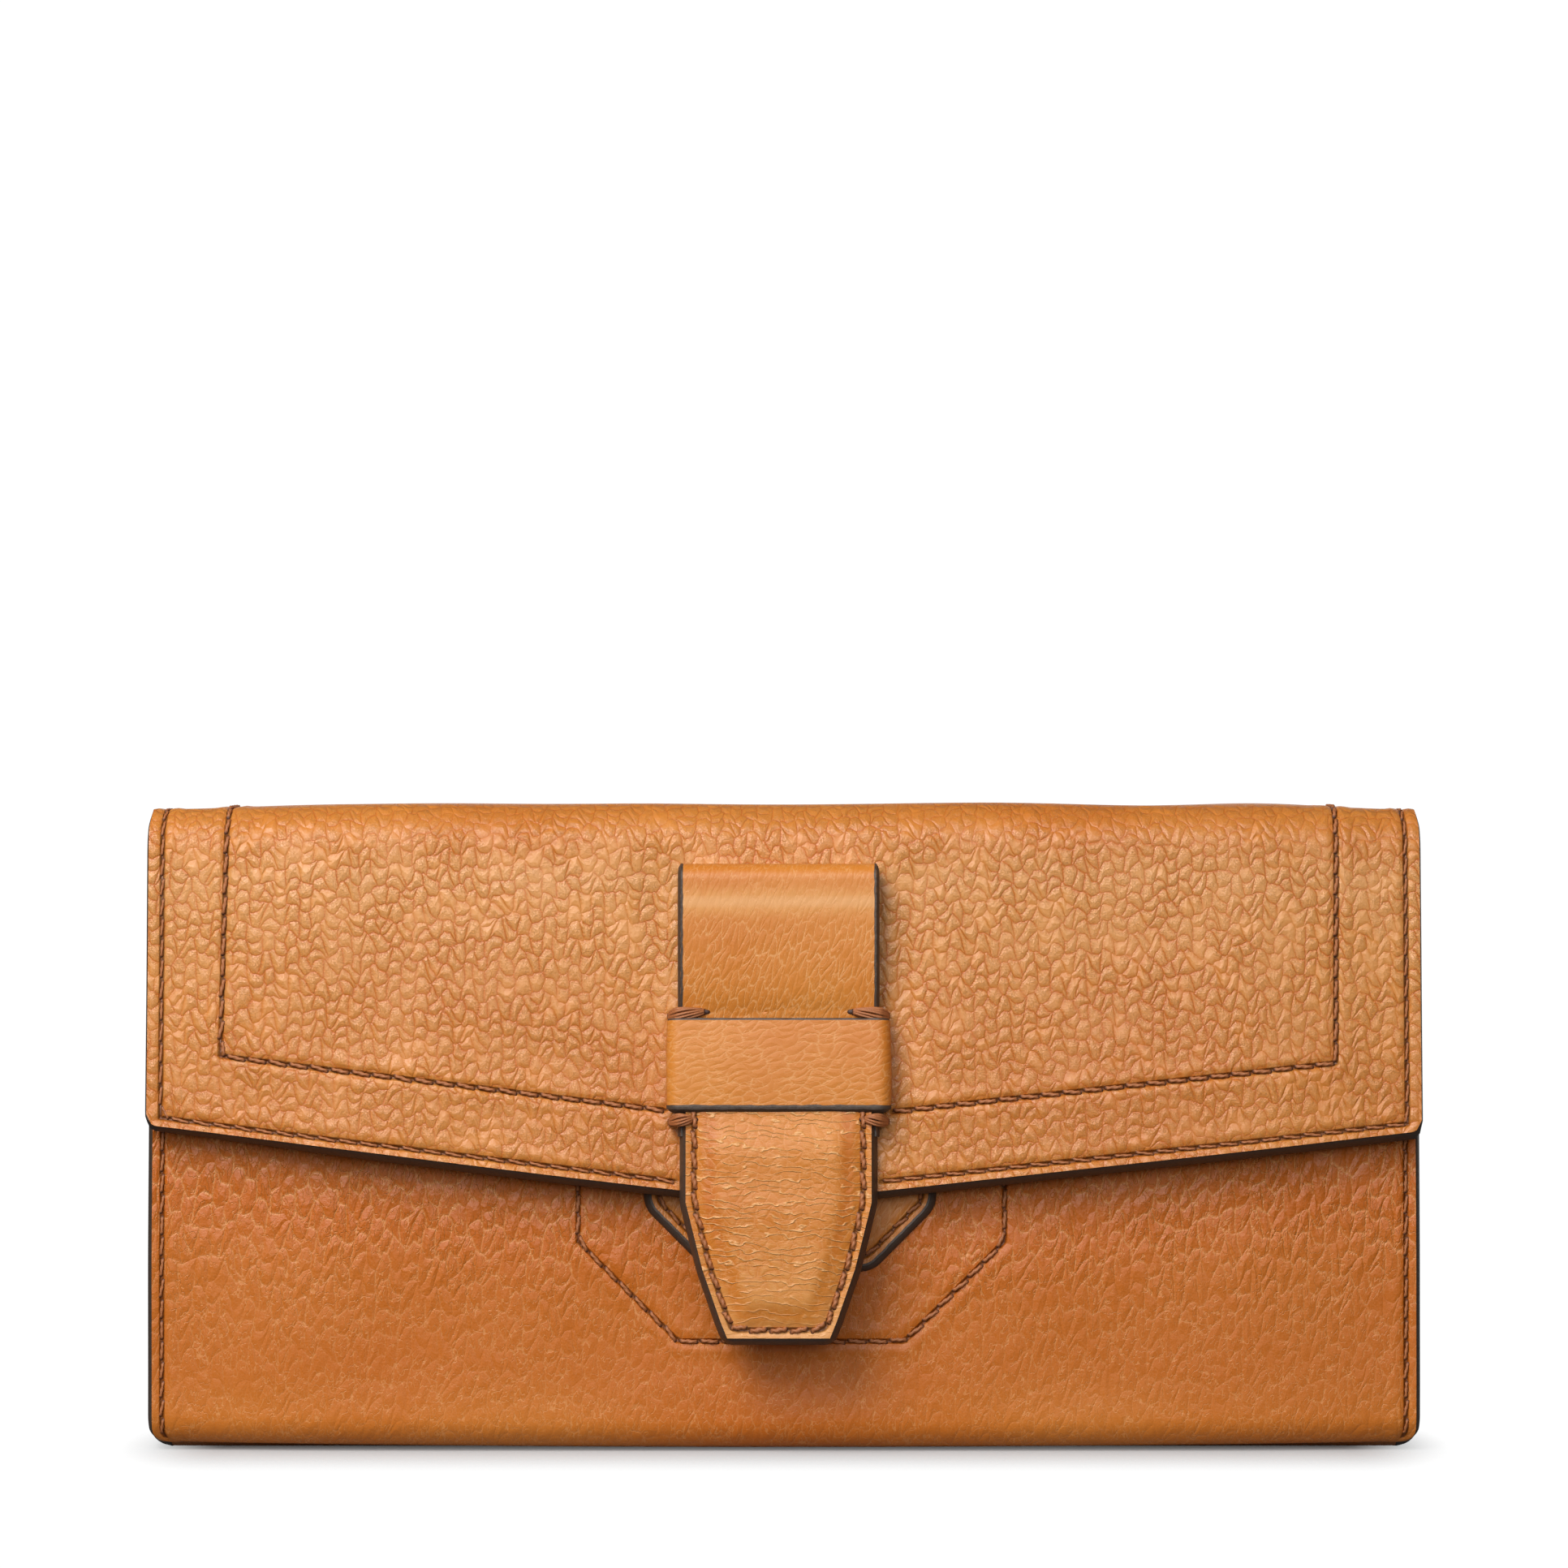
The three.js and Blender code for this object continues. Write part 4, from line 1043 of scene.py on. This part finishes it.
def add_snap():
    stud = [(1.2, -1.8), (1.5, -1.6), (1.5, 1.2), (5.6, 1.2), (6.0, 1.35), (5.9, 1.55), (5.2, 1.7)]
    stud += [(2.6, 1.75), (2.05, 1.9), (1.95, 2.2), (2.4, 2.45), (2.3, 2.65), (1.7, 2.75), (0.4, 2.8)]
    front_y = body_route.at(front_s(SNAP_Z), 0.0)[0]
    piece = turned_piece("snap_stud_turned", stud, front_y, math.radians(FRONT_LEAN))
    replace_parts(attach(piece, "front_panel"), "snap_stud")
    socket = [(0.4, -3.05), (2.9, -3.05), (3.1, -3.2), (3.2, -3.9), (3.5, -4.15), (4.4, -4.1), (4.8, -3.85)]
    socket += [(5.6, -3.8), (6.3, -3.6), (6.5, -3.3), (6.4, -2.85), (1.5, -2.8), (1.5, -1.6), (0.4, -1.5)]
    piece = turned_piece("snap_socket_turned", socket, flap_y(SNAP_Z), FLAP_LEAN)
    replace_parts(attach(piece, "flap"), "snap_socket")


# ---------- the strap, keeper, tongue and bar tacks ----------

STRAP_HALF = 15.0
STRAP_THICK = 1.25
STRAP_PAINT = 0.5
STRAP_BACK_N = 0.1
PINCH_Z = 65.7
FOLD_Z = STRAP_Z + 27.4
FOLD_R, FOLD_RISE = 2.35, 2.3
KEEPER_HALF = 16.65
KEEPER_LOW, KEEPER_TOP = 51.1, 64.4
KEEPER_CORNER, KEEPER_DEEP = 1.9, 4.2
KEEPER_THICK = 1.1
KEEPER_PAINT = 0.85
TONGUE_TOP = 51.5
TONGUE_OUT = 3.2
TONGUE_PROUD = 0.25
TONGUE_EDGE = 1.05
TONGUE_SEAM = 2.15
TONGUE_SWELL = 1.25
TONGUE_BEND_Z = 38.5
FACE_DEPTHS, REAR_DEPTHS = (0.0, 1.6), (1.65, 3.2)
BOW = 0.05
BOW_REACH = 6.0
TONGUE_HEIGHTS, TONGUE_WIDTHS = (16.85, 20.3, 28.0, 37.7, TONGUE_TOP), (8.2, 9.6, 12.3, 14.75, 14.75)
TACK_RADIUS = 0.22
TACK_STRANDS = 8
TACK_RINGS, TACK_SIDES = 19, 8
HOLE_ROWS, HOLE_COLS = 6, 10
UPPER_TACK = ((10.9, 2.85), (11.9, 3.35), (13.8, 3.6), (15.2, 3.4), (16.2, 2.1), (16.6, 0.2))
LOWER_TACK = ((12.6, 3.45), (13.2, 3.95), (14.2, 4.1), (15.2, 3.6), (16.1, 2.0), (16.5, 0.2))


def strap_route():
    """Up behind, over the fold and down in front to the tongue, drawn in where the keeper holds it."""
    behind = [(STRAP_BACK_N, z) for z in (PINCH_Z - 1, PINCH_Z + 6, FOLD_Z)]
    turns = np.linspace(0, math.pi, 19)
    fold = np.c_[STRAP_BACK_N + FOLD_R - FOLD_R * np.cos(turns), FOLD_Z + FOLD_RISE * np.sin(turns)]
    front = [(4.72, FOLD_Z - 4), (4.5, 77), (4.15, 72.5), (3.7, 69), (3.2, 67), (2.75, PINCH_Z)]
    return slab_route(smooth_line(np.vstack((behind, fold, front, [(2.5, PINCH_Z - 2), (2.5, 47.5)]))))


def add_strap():
    route = strap_route()
    place = on_route(route)
    half = STRAP_HALF - STRAP_PAINT
    ss = np.linspace(0, route.length, 160)
    grid = np.meshgrid(np.linspace(-half - PAINT_LAP, half + PAINT_LAP, 61), ss)
    in_front = smooth(route.length / 2 - 5, route.length / 2, ss)
    up = route.at(ss, 0.0)[1]
    drawn = 0.11 * in_front * np.exp(-(((up - PINCH_Z - 0.2) / 1.3) ** 2))
    ridges = np.sin(math.tau * grid[1] / 0.95 + 2.6 * wavy(waves(17, 5, 2.5, 8), *grid))
    swell = drawn[:, None] * ridges * smooth(13.5, 11, np.abs(grid[0]))
    # Painted sheen on the front layer just under the fold, rising to a painted highlight near its top.
    painted_light = (2.6 * in_front * smooth(78.5, 85.5, up) * smooth(88.2, 87.0, up))[:, None]
    looks = {"painted_light": painted_light, "calm": 0.5 * smooth(76, 82, up)[:, None]}
    strap = sheet("strap_loop_skin", grid, (0, STRAP_THICK), place, strap_leather, swell=swell, looks=looks)
    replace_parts(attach(strap, "flap"), "strap_loop")
    for side, sign in SIDES.items():
        line = [(sign * half, s) for s in (0, route.length)][::-sign]
        rim = edge_paint(f"strap_edge_paint_{side}", line, (0, STRAP_THICK), STRAP_PAINT, place, 12, step=0.5)
        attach(rim, "flap")


def keeper_outline():
    """The keeper's outer outline in plan, as (x, n) points: across the front, round the ends and behind."""
    mid = KEEPER_DEEP - KEEPER_CORNER
    ends = [
        arc((KEEPER_HALF - KEEPER_CORNER, mid), KEEPER_CORNER, 90, -90, 14)[::-1],
        arc((-KEEPER_HALF + KEEPER_CORNER, mid), KEEPER_CORNER, 270, 90, 14)[::-1],
    ]
    for end in ends:
        end[:, 1] = np.where(end[:, 1] < mid, (end[:, 1] - mid) * 1.1 + mid, end[:, 1])
    behind = [(0, ends[0][0, 1])]
    return resample(np.vstack((behind, *ends, behind)), 0.5)


def add_keeper():
    outline = keeper_outline()
    distance = run_of(outline)
    total = distance[-1]
    step = np.gradient(outline, axis=0)
    step /= np.hypot(*step.T)[:, None]
    out = np.c_[-step[:, 1], step[:, 0]]
    out *= -1 if out[0, 1] > 0 else 1
    half = (KEEPER_TOP - KEEPER_LOW) / 2
    table = waves(8, 5, 9, 30)

    def place(up, ring, depth):
        """A place on the keeper: up its width, round its ring, and into its thickness."""
        run = np.mod(ring, total)
        x, n, nx, nn = (np.interp(run, distance, values) for values in (*outline.T, *out.T))
        face = smooth(0.8, 3.6, n)
        z = (KEEPER_LOW + KEEPER_TOP) / 2 + up * (1 + 0.035 * face)
        rise = 0.25 * face * (1 - (up / 6.7) ** 2) + 0.06 * wavy(table, run, up) - depth
        return np.stack((x + nx * rise + STRAP_X, *face_point(n + nn * rise, z)), -1)

    low_edge, top_edge = -half + KEEPER_PAINT, half - 0.1
    ups = np.linspace(low_edge - 0.1, top_edge + 0.08, 27)
    ring, up = np.meshgrid(np.linspace(0, total, 150)[:-1], ups)
    flat = np.c_[up.ravel(), ring.ravel()]
    verts = np.vstack((place(*flat.T, 0.0), place(*flat.T, KEEPER_THICK)))
    first = np.arange(ring.shape[1])
    quads = np.vstack((ring_faces(*ring.shape), join_layers(first, len(flat))))
    band = make_object("keeper_skin", verts, outward(verts, quads), band_leather, laid_out(flat[:, ::-1]), 50)
    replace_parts(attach(band, "flap"), "keeper")
    rings = np.linspace(0, total, 200)[:-1]
    low = [(low_edge, r) for r in rings]
    top = [(top_edge, r) for r in rings[::-1]]
    low_rim = edge_paint("keeper_edge_paint_low", low, (0, KEEPER_THICK), KEEPER_PAINT, place, 3, True, 0.5)
    top_rim = edge_paint("keeper_edge_paint_top", top, (0.1, 1.0), 0.12, place, 6, True, 0.5)
    for rim in (low_rim, top_rim):
        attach(rim, "flap")


def tongue_half(z, inset=0.0):
    return np.interp(z, TONGUE_HEIGHTS, TONGUE_WIDTHS) - inset * 1.04


def tongue_bow(z):
    """How far the tongue bends in below the flap's edge."""
    drop = np.clip(TONGUE_BEND_Z - np.asarray(z, float), 0, None)
    return np.where(drop < BOW_REACH, 0.5 * BOW * drop**2 / BOW_REACH, BOW * (drop - 0.5 * BOW_REACH))


def on_tongue(x, z, depth):
    """A place on the tongue: depth goes in from its outer face, and z is a height on the flap's face."""
    x, z, depth = np.broadcast_arrays(*(np.asarray(a, float) for a in (x, z, depth)))
    return np.stack((x + STRAP_X, *face_point(TONGUE_OUT + TONGUE_PROUD - depth - tongue_bow(z), z)), -1)


def tongue_outline(inset):
    """Down the right side and up the left, with the corners at the tip rounded."""
    zs = [*TONGUE_HEIGHTS[:0:-1], TONGUE_TIP + inset]
    right = [(float(tongue_half(z, inset)), z) for z in zs]
    line = right + [(-x, z) for x, z in right[::-1]]
    soft = rounded(line, 0.9)
    turn = len(soft) // len(line)
    return [line[0], *map(tuple, soft[turn:-turn]), line[-1]]


def softened(grid, times):
    """The grid of heights averaged with its neighbours, a few times over."""
    for _ in range(times):
        wide = np.pad(grid, 1, mode="edge")
        grid = (wide[:-2, 1:-1] + wide[2:, 1:-1] + wide[1:-1, :-2] + wide[1:-1, 2:]) / 4
    return grid


def add_tongue():
    zs = np.linspace(TONGUE_TIP + TONGUE_EDGE - 0.1, TONGUE_TOP, 110)
    half = tongue_half(zs, TONGUE_EDGE - 0.1)
    across = half[:, None] * np.linspace(-1, 1, 95)
    along = np.repeat(zs[:, None], across.shape[1], 1)
    line = tongue_outline(TONGUE_SEAM)
    flat = np.c_[across.ravel(), along.ravel()]
    inside = smooth(0.1, 4.4, line_distance(flat, line)[0]).reshape(across.shape)
    inside = inside * (np.abs(across) < tongue_half(along, 2.2)) * (along > TONGUE_TIP + 2)
    swell = TONGUE_SWELL * inside + 0.1 * wavy(waves(14, 6, 3.5, 12), across * 0.35, along) * inside
    swell = softened(swell * (1 - 0.8 * smooth(45, 51, along)), 8)
    # Painted sheen over the tongue, stronger towards its tip, and painted shade along the pad's steep sides.
    side_shade = inside * (1 - inside) * 4
    looks = {"painted_light": 0.2 + 0.9 * smooth(38, 18, along) - 0.8 * side_shade, "calm": 0.6 * smooth(30, 20, along)}
    grid = (across, along)
    dressed = {"groove": 0.2, "swell": swell, "looks": looks}
    face = sheet("tongue_face_skin", grid, FACE_DEPTHS, on_tongue, tongue_leather, [line], **dressed)
    grid = (across[::4, ::4], along[::4, ::4])
    rear = sheet("tongue_backing_skin", grid, REAR_DEPTHS, on_tongue, lining_leather)
    outline = tongue_outline(TONGUE_EDGE)
    rim = edge_paint("tongue_edge_paint", outline, (0, TONGUE_OUT), TONGUE_EDGE, on_tongue, 15, step=0.4)
    sewn = stitches("tongue_stitches", line, on_tongue, 41, radius=0.35, pitch=3.0, tilt=0.26)
    bends = {
        "start": np.array((0, *face_point(2.0, 51.0))) * MM,
        "end": np.array((0, *face_point(2.0, 47.5))) * MM,
    }
    for piece in (face, rear, rim, sewn):
        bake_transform(piece)
    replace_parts(face, "tongue_face", "tongue_pad")
    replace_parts(rear, "tongue_backing")
    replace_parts(sewn, "tongue_thread")


def hole_at(centre):
    """Points and faces of the dimple that the thread goes down into, which bar_tack colours as painted shade.
    """
    turn = np.linspace(0, math.tau, HOLE_COLS, endpoint=False)
    tilt = np.linspace(0.15, math.pi - 0.15, HOLE_ROWS)[:, None]
    x = centre[0] + 0.75 * np.sin(tilt) * np.cos(turn)
    n = np.broadcast_to(centre[1] + 0.25 * np.cos(tilt), x.shape)
    z = centre[2] + 0.42 * np.sin(tilt) * np.sin(turn)
    points = np.stack((x + STRAP_X, *face_point(n, z)), -1).reshape(-1, 3)
    quads = grid_faces(HOLE_ROWS, HOLE_COLS, wrap=True)
    return points, outward(points, quads, end_caps(HOLE_ROWS, HOLE_COLS))


def tack_strand(route, turn):
    """Points and faces of one strand that winds along a route of (x, n, z) points on the flap's face."""
    t = np.linspace(0, 1, TACK_RINGS)
    angle = np.linspace(0, math.tau, TACK_SIDES, endpoint=False)
    swing = turn + 1.4 * t
    spread = 0.5 * np.sin(math.pi * np.clip(t, 0.05, 0.95)) + 0.12
    x, n, z = (np.interp(t, np.linspace(0, 1, len(route)), values) for values in np.array(route, float).T)
    n = n + spread * 0.55 * np.sin(swing)
    z = z + spread * 1.25 * np.cos(swing)
    size = TACK_RADIUS * (1 + 0.16 * np.cos(2 * (angle - 5 * t[:, None])))
    n = n[:, None] + np.sin(angle) * size
    z = z[:, None] + np.cos(angle) * size
    x = np.broadcast_to(x[:, None] + STRAP_X, n.shape)
    points = np.stack((x, *face_point(n, z)), -1).reshape(-1, 3)
    quads = grid_faces(TACK_RINGS, TACK_SIDES, wrap=True)
    return points, outward(points, quads, end_caps(TACK_RINGS, TACK_SIDES))


def bar_tack(name, route, seed):
    """Strands of thread laid side by side over a route, and the hole that they come out of, coloured as
    painted shade.
    """
    rng = np.random.default_rng(seed)
    turns = [math.tau * k / TACK_STRANDS + rng.uniform(-0.3, 0.3) for k in range(TACK_STRANDS)]
    parts = [tack_strand(route, turn) for turn in turns] + [hole_at(route[0])]
    along = np.repeat(np.abs(np.linspace(-1, 1, TACK_RINGS)) ** 3, TACK_SIDES)
    # The hole takes the thread's darkest colour throughout: painted shade.
    strand = np.r_[np.tile(along, TACK_STRANDS), np.ones(HOLE_ROWS * HOLE_COLS)]
    return gathered(name, parts, thread, None, strand=strand)


def add_bartacks():
    rows = {"upper": (UPPER_TACK, PINCH_Z + 0.1, -0.35), "lower": (LOWER_TACK, 50.0, -0.2)}
    for row, (route, z, drop) in rows.items():
        for seed, (side, sign) in enumerate(SIDES.items()):
            points = [(sign * x, n, z + drop * (x - 12) / 4) for x, n in route]
            tack = bar_tack(f"bartack_{row}_{side}_thread", points, seed + 50)
            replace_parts(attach(tack, "flap"), f"bartack_{row}_{side}")


# ---------- the inside ----------

SLOT_THICK = 0.55
WALL_THICK = 0.65
WALL_FOOT = 3.0
SLIP_DEPTHS = (2.95, 3.5)
SLIP_HALF, SLIP_LOW, SLIP_TOP = 82, 8, 70
GUSSET_LOW, GUSSET_TOP = 4.5, 82
GUSSET_HALF_THICK = 0.33
GUSSET_HEIGHTS, GUSSET_TIPS = (GUSSET_LOW, 12, 32, 49, GUSSET_TOP), (90.0, 87.0, 84.5, 84.0, 84.0)


def wall(name, plan, low, top, thick, material, step, seam):
    """An upright sheet: its plan is a line of (x, y) points, and its front face is on the line's right."""
    route = Route(plan, 0.5)

    def place(z, s, depth):
        x, y = route.at(s, depth)
        return np.stack(pinched(x, y, np.broadcast_to(z, x.shape)), -1)

    ss = np.linspace(0, route.length, int(route.length / step) + 2)
    grid = np.meshgrid(with_seams(low, top, step, [seam]), ss)
    return sheet(name, grid, (0, thick), place, material, [[(seam, 0), (seam, route.length)]], None, 0.12)


def add_pockets():
    plan = [(-95, 7.0), (-91.9, 7.0), (-88.75, 2.9), (88.75, 2.9), (91.9, 7.0), (95, 7.0)]
    seam = POCKET_TOP - 2
    piece = wall("pocket_wall_skin", plan, WALL_FOOT, POCKET_TOP, WALL_THICK, lining_leather, 2.0, seam)
    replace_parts(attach(piece, "back"), "pocket_wall")
    for node in (f"card_slot_{side}_{row}" for side in SIDES for row in ("top", "middle", "bottom")):
        low, high = cad_box(node)
        plan = [(low[0], low[1]), ((low[0] + high[0]) / 2, low[1] - 0.02), (high[0], low[1])]
        piece = wall(f"{node}_skin", plan, low[2], high[2], SLOT_THICK, strap_leather, 1.5, high[2] - 2.2)
        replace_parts(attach(piece, "back"), node)
    grid = strip_grid(SLIP_HALF, front_s(SLIP_TOP), front_s(SLIP_LOW), 2.0, (), [front_s(SLIP_TOP - 2)])
    slip = sheet("slip_pocket_skin", grid, SLIP_DEPTHS, on_body, lining_leather, groove=0.0)
    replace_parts(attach(slip, "front_panel"), "slip_pocket")


def gusset_fold(z):
    """The gusset's plan at a height: from the back lining in to its tip and out to the front lining."""
    y = body_route.at(front_s(z), LINING[1] + 0.1)[0]
    tip, mid = np.interp(z, GUSSET_HEIGHTS, GUSSET_TIPS), (1 + y) / 2
    line = [(94.7, 6.5), (92.6, 6.5), (92.4, 5.8), (92.3, 1.6), (91.6, 0.9), (tip + 0.8, mid + 0.4)]
    line += [(tip, mid), (tip + 0.8, mid - 0.4), (91.6, y + 0.9), (92.5, y + 0.3), (94.7, y + 0.3)]
    return even_points(smooth_line(line), 56)


def add_gussets():
    zs = np.linspace(GUSSET_LOW, GUSSET_TOP, 40)
    folds = np.array([gusset_fold(z) for z in zs])
    thick = np.array([normals_of(fold, False) for fold in folds]) * GUSSET_HALF_THICK
    level = np.repeat(zs[:, None], folds.shape[1], 1)
    flat = np.c_[np.tile(np.arange(folds.shape[1]) * 0.5, len(zs)), level.ravel()]
    for side, sign in SIDES.items():
        faces = (folds + thick, folds - thick)
        layers = [pinched(sign * face[..., 0], face[..., 1], level) for face in faces]
        verts = np.vstack([np.stack(layer, -1).reshape(-1, 3) for layer in layers])
        faces = outward(verts, sheet_faces(*level.shape))
        piece = make_object(f"gusset_{side}_skin", verts, faces, lining_leather, laid_out(flat), 60)
        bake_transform(piece)
        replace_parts(piece, f"gusset_{side}")


# ---------- the zip ----------

TOOTH_PITCH = 2.0
ZIP_ENDS = (-74, 74.7)
PULLER_Z = 74.2
TAB_TRIM = (0, 0.4, 0)


def rounded_block(size, centre, bevel, segments=3):
    """Points and faces of a box with rounded edges."""
    made = bmesh.new()
    bmesh.ops.create_cube(made, size=1.0)
    for vert in made.verts:
        vert.co = [vert.co[i] * size[i] for i in range(3)]
    bmesh.ops.bevel(made, geom=made.edges[:], offset=bevel, segments=segments, profile=0.5, affect="EDGES")
    made.verts.index_update()
    verts = np.array([list(v.co) for v in made.verts]) + np.array(centre)
    faces = [[v.index for v in f.verts] for f in made.faces]
    made.free()
    return verts, faces


def block_of(node, bevel, segments=3, trim=(0, 0, 0)):
    """A rounded block that fills a CAD node's box, less a trim."""
    low, high = cad_box(node)
    return rounded_block(high - low - trim, (low + high) / 2, bevel, segments)


def gathered(name, parts, material, sharp=40, **numbers):
    """One piece from several closed shapes. numbers are attributes, one number per point."""
    verts = np.vstack([points for points, _ in parts])
    starts = np.cumsum([0] + [len(points) for points, _ in parts]).tolist()
    faces = [[i + start for i in face] for start, (_, shape) in zip(starts, parts) for face in shape]
    plain = np.full(len(verts), NO_SEAM)
    attributes = {"sheet": verts, **(numbers or {"seam": plain, "ring": plain})}
    return make_object(name, verts, faces, material, attributes, sharp)


def add_zip():
    low, high = cad_box("zip_teeth_front")
    zip_y = (low[1] + cad_box("zip_teeth_back")[1][1]) / 2
    tall, z = high[2] - low[2], (high[2] + low[2]) / 2
    for row, sign, shift in (("front", -1, 0.0), ("back", 1, TOOTH_PITCH / 2)):
        teeth = []
        for x in np.arange(ZIP_ENDS[0] + shift, ZIP_ENDS[1], TOOTH_PITCH):
            teeth.append(rounded_block((0.85, 1.5, tall - 0.3), (x, zip_y + sign * 0.45, z), 0.2, 2))
            teeth.append(rounded_block((1.15, 0.75, tall), (x, zip_y + sign * 1.3, z), 0.25, 2))
        chain = gathered(f"zip_chain_{row}", teeth, brass)
        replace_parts(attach(chain, "back"), f"zip_teeth_{row}")
        woven = gathered(f"zip_tape_{row}_cloth", [block_of(f"zip_tape_{row}", 0.12, 2)], tape_cloth)
        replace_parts(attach(woven, "back"), f"zip_tape_{row}")
    for side in SIDES:
        stop = gathered(f"zip_stop_{side}_metal", [block_of(f"zip_stop_{side}", 0.3)], brass)
        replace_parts(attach(stop, "back"), f"zip_stop_{side}")


def add_slider():
    low, high = cad_box("slider_top")
    x, y = (low[0] + high[0]) / 2, (low[1] + high[1]) / 2
    parts = [rounded_block((9.0, 3.9, 1.15), (x, y, 72.4), 0.45, 4)]
    parts += [rounded_block((0.9, 1.2, 3.0), (x + side * 2.9, y, 73.9), 0.3) for side in (-1, 1)]
    parts += [rounded_block((6.7, 1.2, 0.8), (x, y, 75.25), 0.35)]
    top = gathered("slider_top_metal", parts, brass)
    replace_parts(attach(top, "zip_slider"), "slider_top")
    bottom = gathered("slider_bottom_metal", [block_of("slider_bottom", 0.4, 4)], brass)
    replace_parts(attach(bottom, "zip_slider"), "slider_bottom")
    parts = [rounded_block((0.8, 3.5, 0.8), (bar_x, y, PULLER_Z), 0.3) for bar_x in (x, x - 4.1)]
    parts += [rounded_block((4.9, 0.85, 0.8), (x - 2.05, y + side * 1.32, PULLER_Z), 0.3) for side in (-1, 1)]
    parts += [rounded_block((7.4, 2.2, 0.75), (x - 7.9, y, PULLER_Z), 0.3)]
    link = gathered("puller_link_metal", parts, brass)
    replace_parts(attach(link, "zip_puller"), "puller_link")
    tab = gathered("puller_tab_leather", [block_of("puller_tab", 0.6, 4, TAB_TRIM)], strap_leather, 60)
    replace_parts(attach(tab, "zip_puller"), "puller_tab")


def add_washers():
    """The washers are sealed inside, and only take their material."""
    for node in ("snap_socket_washer", "snap_stud_washer"):
        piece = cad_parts[node]
        piece.data.materials.clear()
        piece.data.materials.append(brass)


# ---------- the room, the lights and the camera ----------

CAMERA_DISTANCE = 0.9
CAMERA_HEIGHT = 0.1
LENS = 136.5
SENSOR = 36
ROOM_LIGHT = 0.1
SEEN_ROOM = 1.05
FLOOR_SIZE = 6.0
SHADE_HALF = 0.084
SHADE_TURN = 2.3
SHADE_Y = 0.002
SHADE_REACH = (-0.0035, 0.045)
LIGHTS = {
    "key": ((0.4, 0.4), (-0.3, -0.5, 0.58), (0, 0, 0.07), 5.5),
    "front_softbox": ((1.6, 0.8), (0, -1.3, 0.5), (0, 0, 0.07), 8.9),
    "sheen_softbox": ((1.8, 0.8), (-0.3, -1.3, 0.85), (0, 0, 0.07), 20.0),
    "back_softbox": ((1.6, 0.7), (0.4, 1.3, 0.3), (0, 0, 0.05), 4.0),
}


def linked(name, data):
    made = bpy.data.objects.new(name, data)
    bpy.context.scene.collection.objects.link(made)
    return made


def add_light(name, size, place, target, power):
    data = bpy.data.lights.new(name, "AREA")
    data.shape = "RECTANGLE"
    data.size, data.size_y = size
    data.energy = power
    lamp = linked(name, data)
    lamp.location = place
    lamp.rotation_euler = (Vector(target) - Vector(place)).to_track_quat("-Z", "Y").to_euler()
    lamp.visible_diffuse = name != "sheen_softbox"


def add_floor():
    """A white floor that shows only its shade close to the wallet."""
    mesh = bpy.data.meshes.new("floor")
    corners = [(x * FLOOR_SIZE, y * FLOOR_SIZE, 0) for x, y in ((-1, -1), (1, -1), (1, 1), (-1, 1))]
    mesh.from_pydata(corners, [], [(0, 1, 2, 3)])
    white = Shader("pale_floor", 0.8, specular=0.0)
    white.dress(white.mix(white.node("LightPath", {}, "Is Camera Ray"), (0.4, 0.4, 0.4), (0.5, 0.5, 0.5)))
    x, y = white.parts(white.node("TexCoord", {}, "Object"))
    beside = white.times(white.positive(white.less(white.size(x), SHADE_HALF)), SHADE_TURN)
    ahead = white.size(white.less(y, SHADE_Y))
    away = white.math("ADD", white.math("POWER", beside, 2.0), white.math("POWER", ahead, 2.0))
    far = white.range(white.math("SQRT", away), *SHADE_REACH)
    clear = white.node("BsdfTransparent", {})
    shown = white.node("MixShader", {0: far, 1: white.surface.outputs[0], 2: clear})
    white.put(white.tree.nodes["Material Output"].inputs["Surface"], shown)
    mesh.materials.append(white.material)
    linked("floor", mesh)


def add_room():
    world = bpy.data.worlds.new("soft_room")
    bpy.context.scene.world = world
    world.use_nodes = True
    tree = world.node_tree
    seen = tree.nodes.new("ShaderNodeLightPath")
    strength = tree.nodes.new("ShaderNodeMapRange")
    strength.inputs["To Min"].default_value = ROOM_LIGHT
    strength.inputs["To Max"].default_value = SEEN_ROOM
    tree.links.new(seen.outputs["Is Camera Ray"], strength.inputs["Value"])
    background = tree.nodes["Background"]
    background.inputs["Color"].default_value = (1, 1, 1, 1)
    tree.links.new(strength.outputs[0], background.inputs["Strength"])
    for name, light in LIGHTS.items():
        add_light(name, *light)


def add_camera():
    data = bpy.data.cameras.new("camera")
    data.lens = LENS
    data.sensor_width = SENSOR
    camera = linked("camera", data)
    camera.location = (0, -CAMERA_DISTANCE, CAMERA_HEIGHT)
    camera.rotation_euler = (math.pi / 2, 0, 0)
    bpy.context.scene.camera = camera


add_camera()
add_floor()
add_room()
add_flap_body()
add_back_body()
add_front_body()
add_body_threads()
add_patch()
add_snap()
add_strap()
add_keeper()
add_tongue()
add_bartacks()
add_pockets()
add_gussets()
add_zip()
add_slider()
add_washers()
bpy.context.scene.view_settings.view_transform = "Standard"
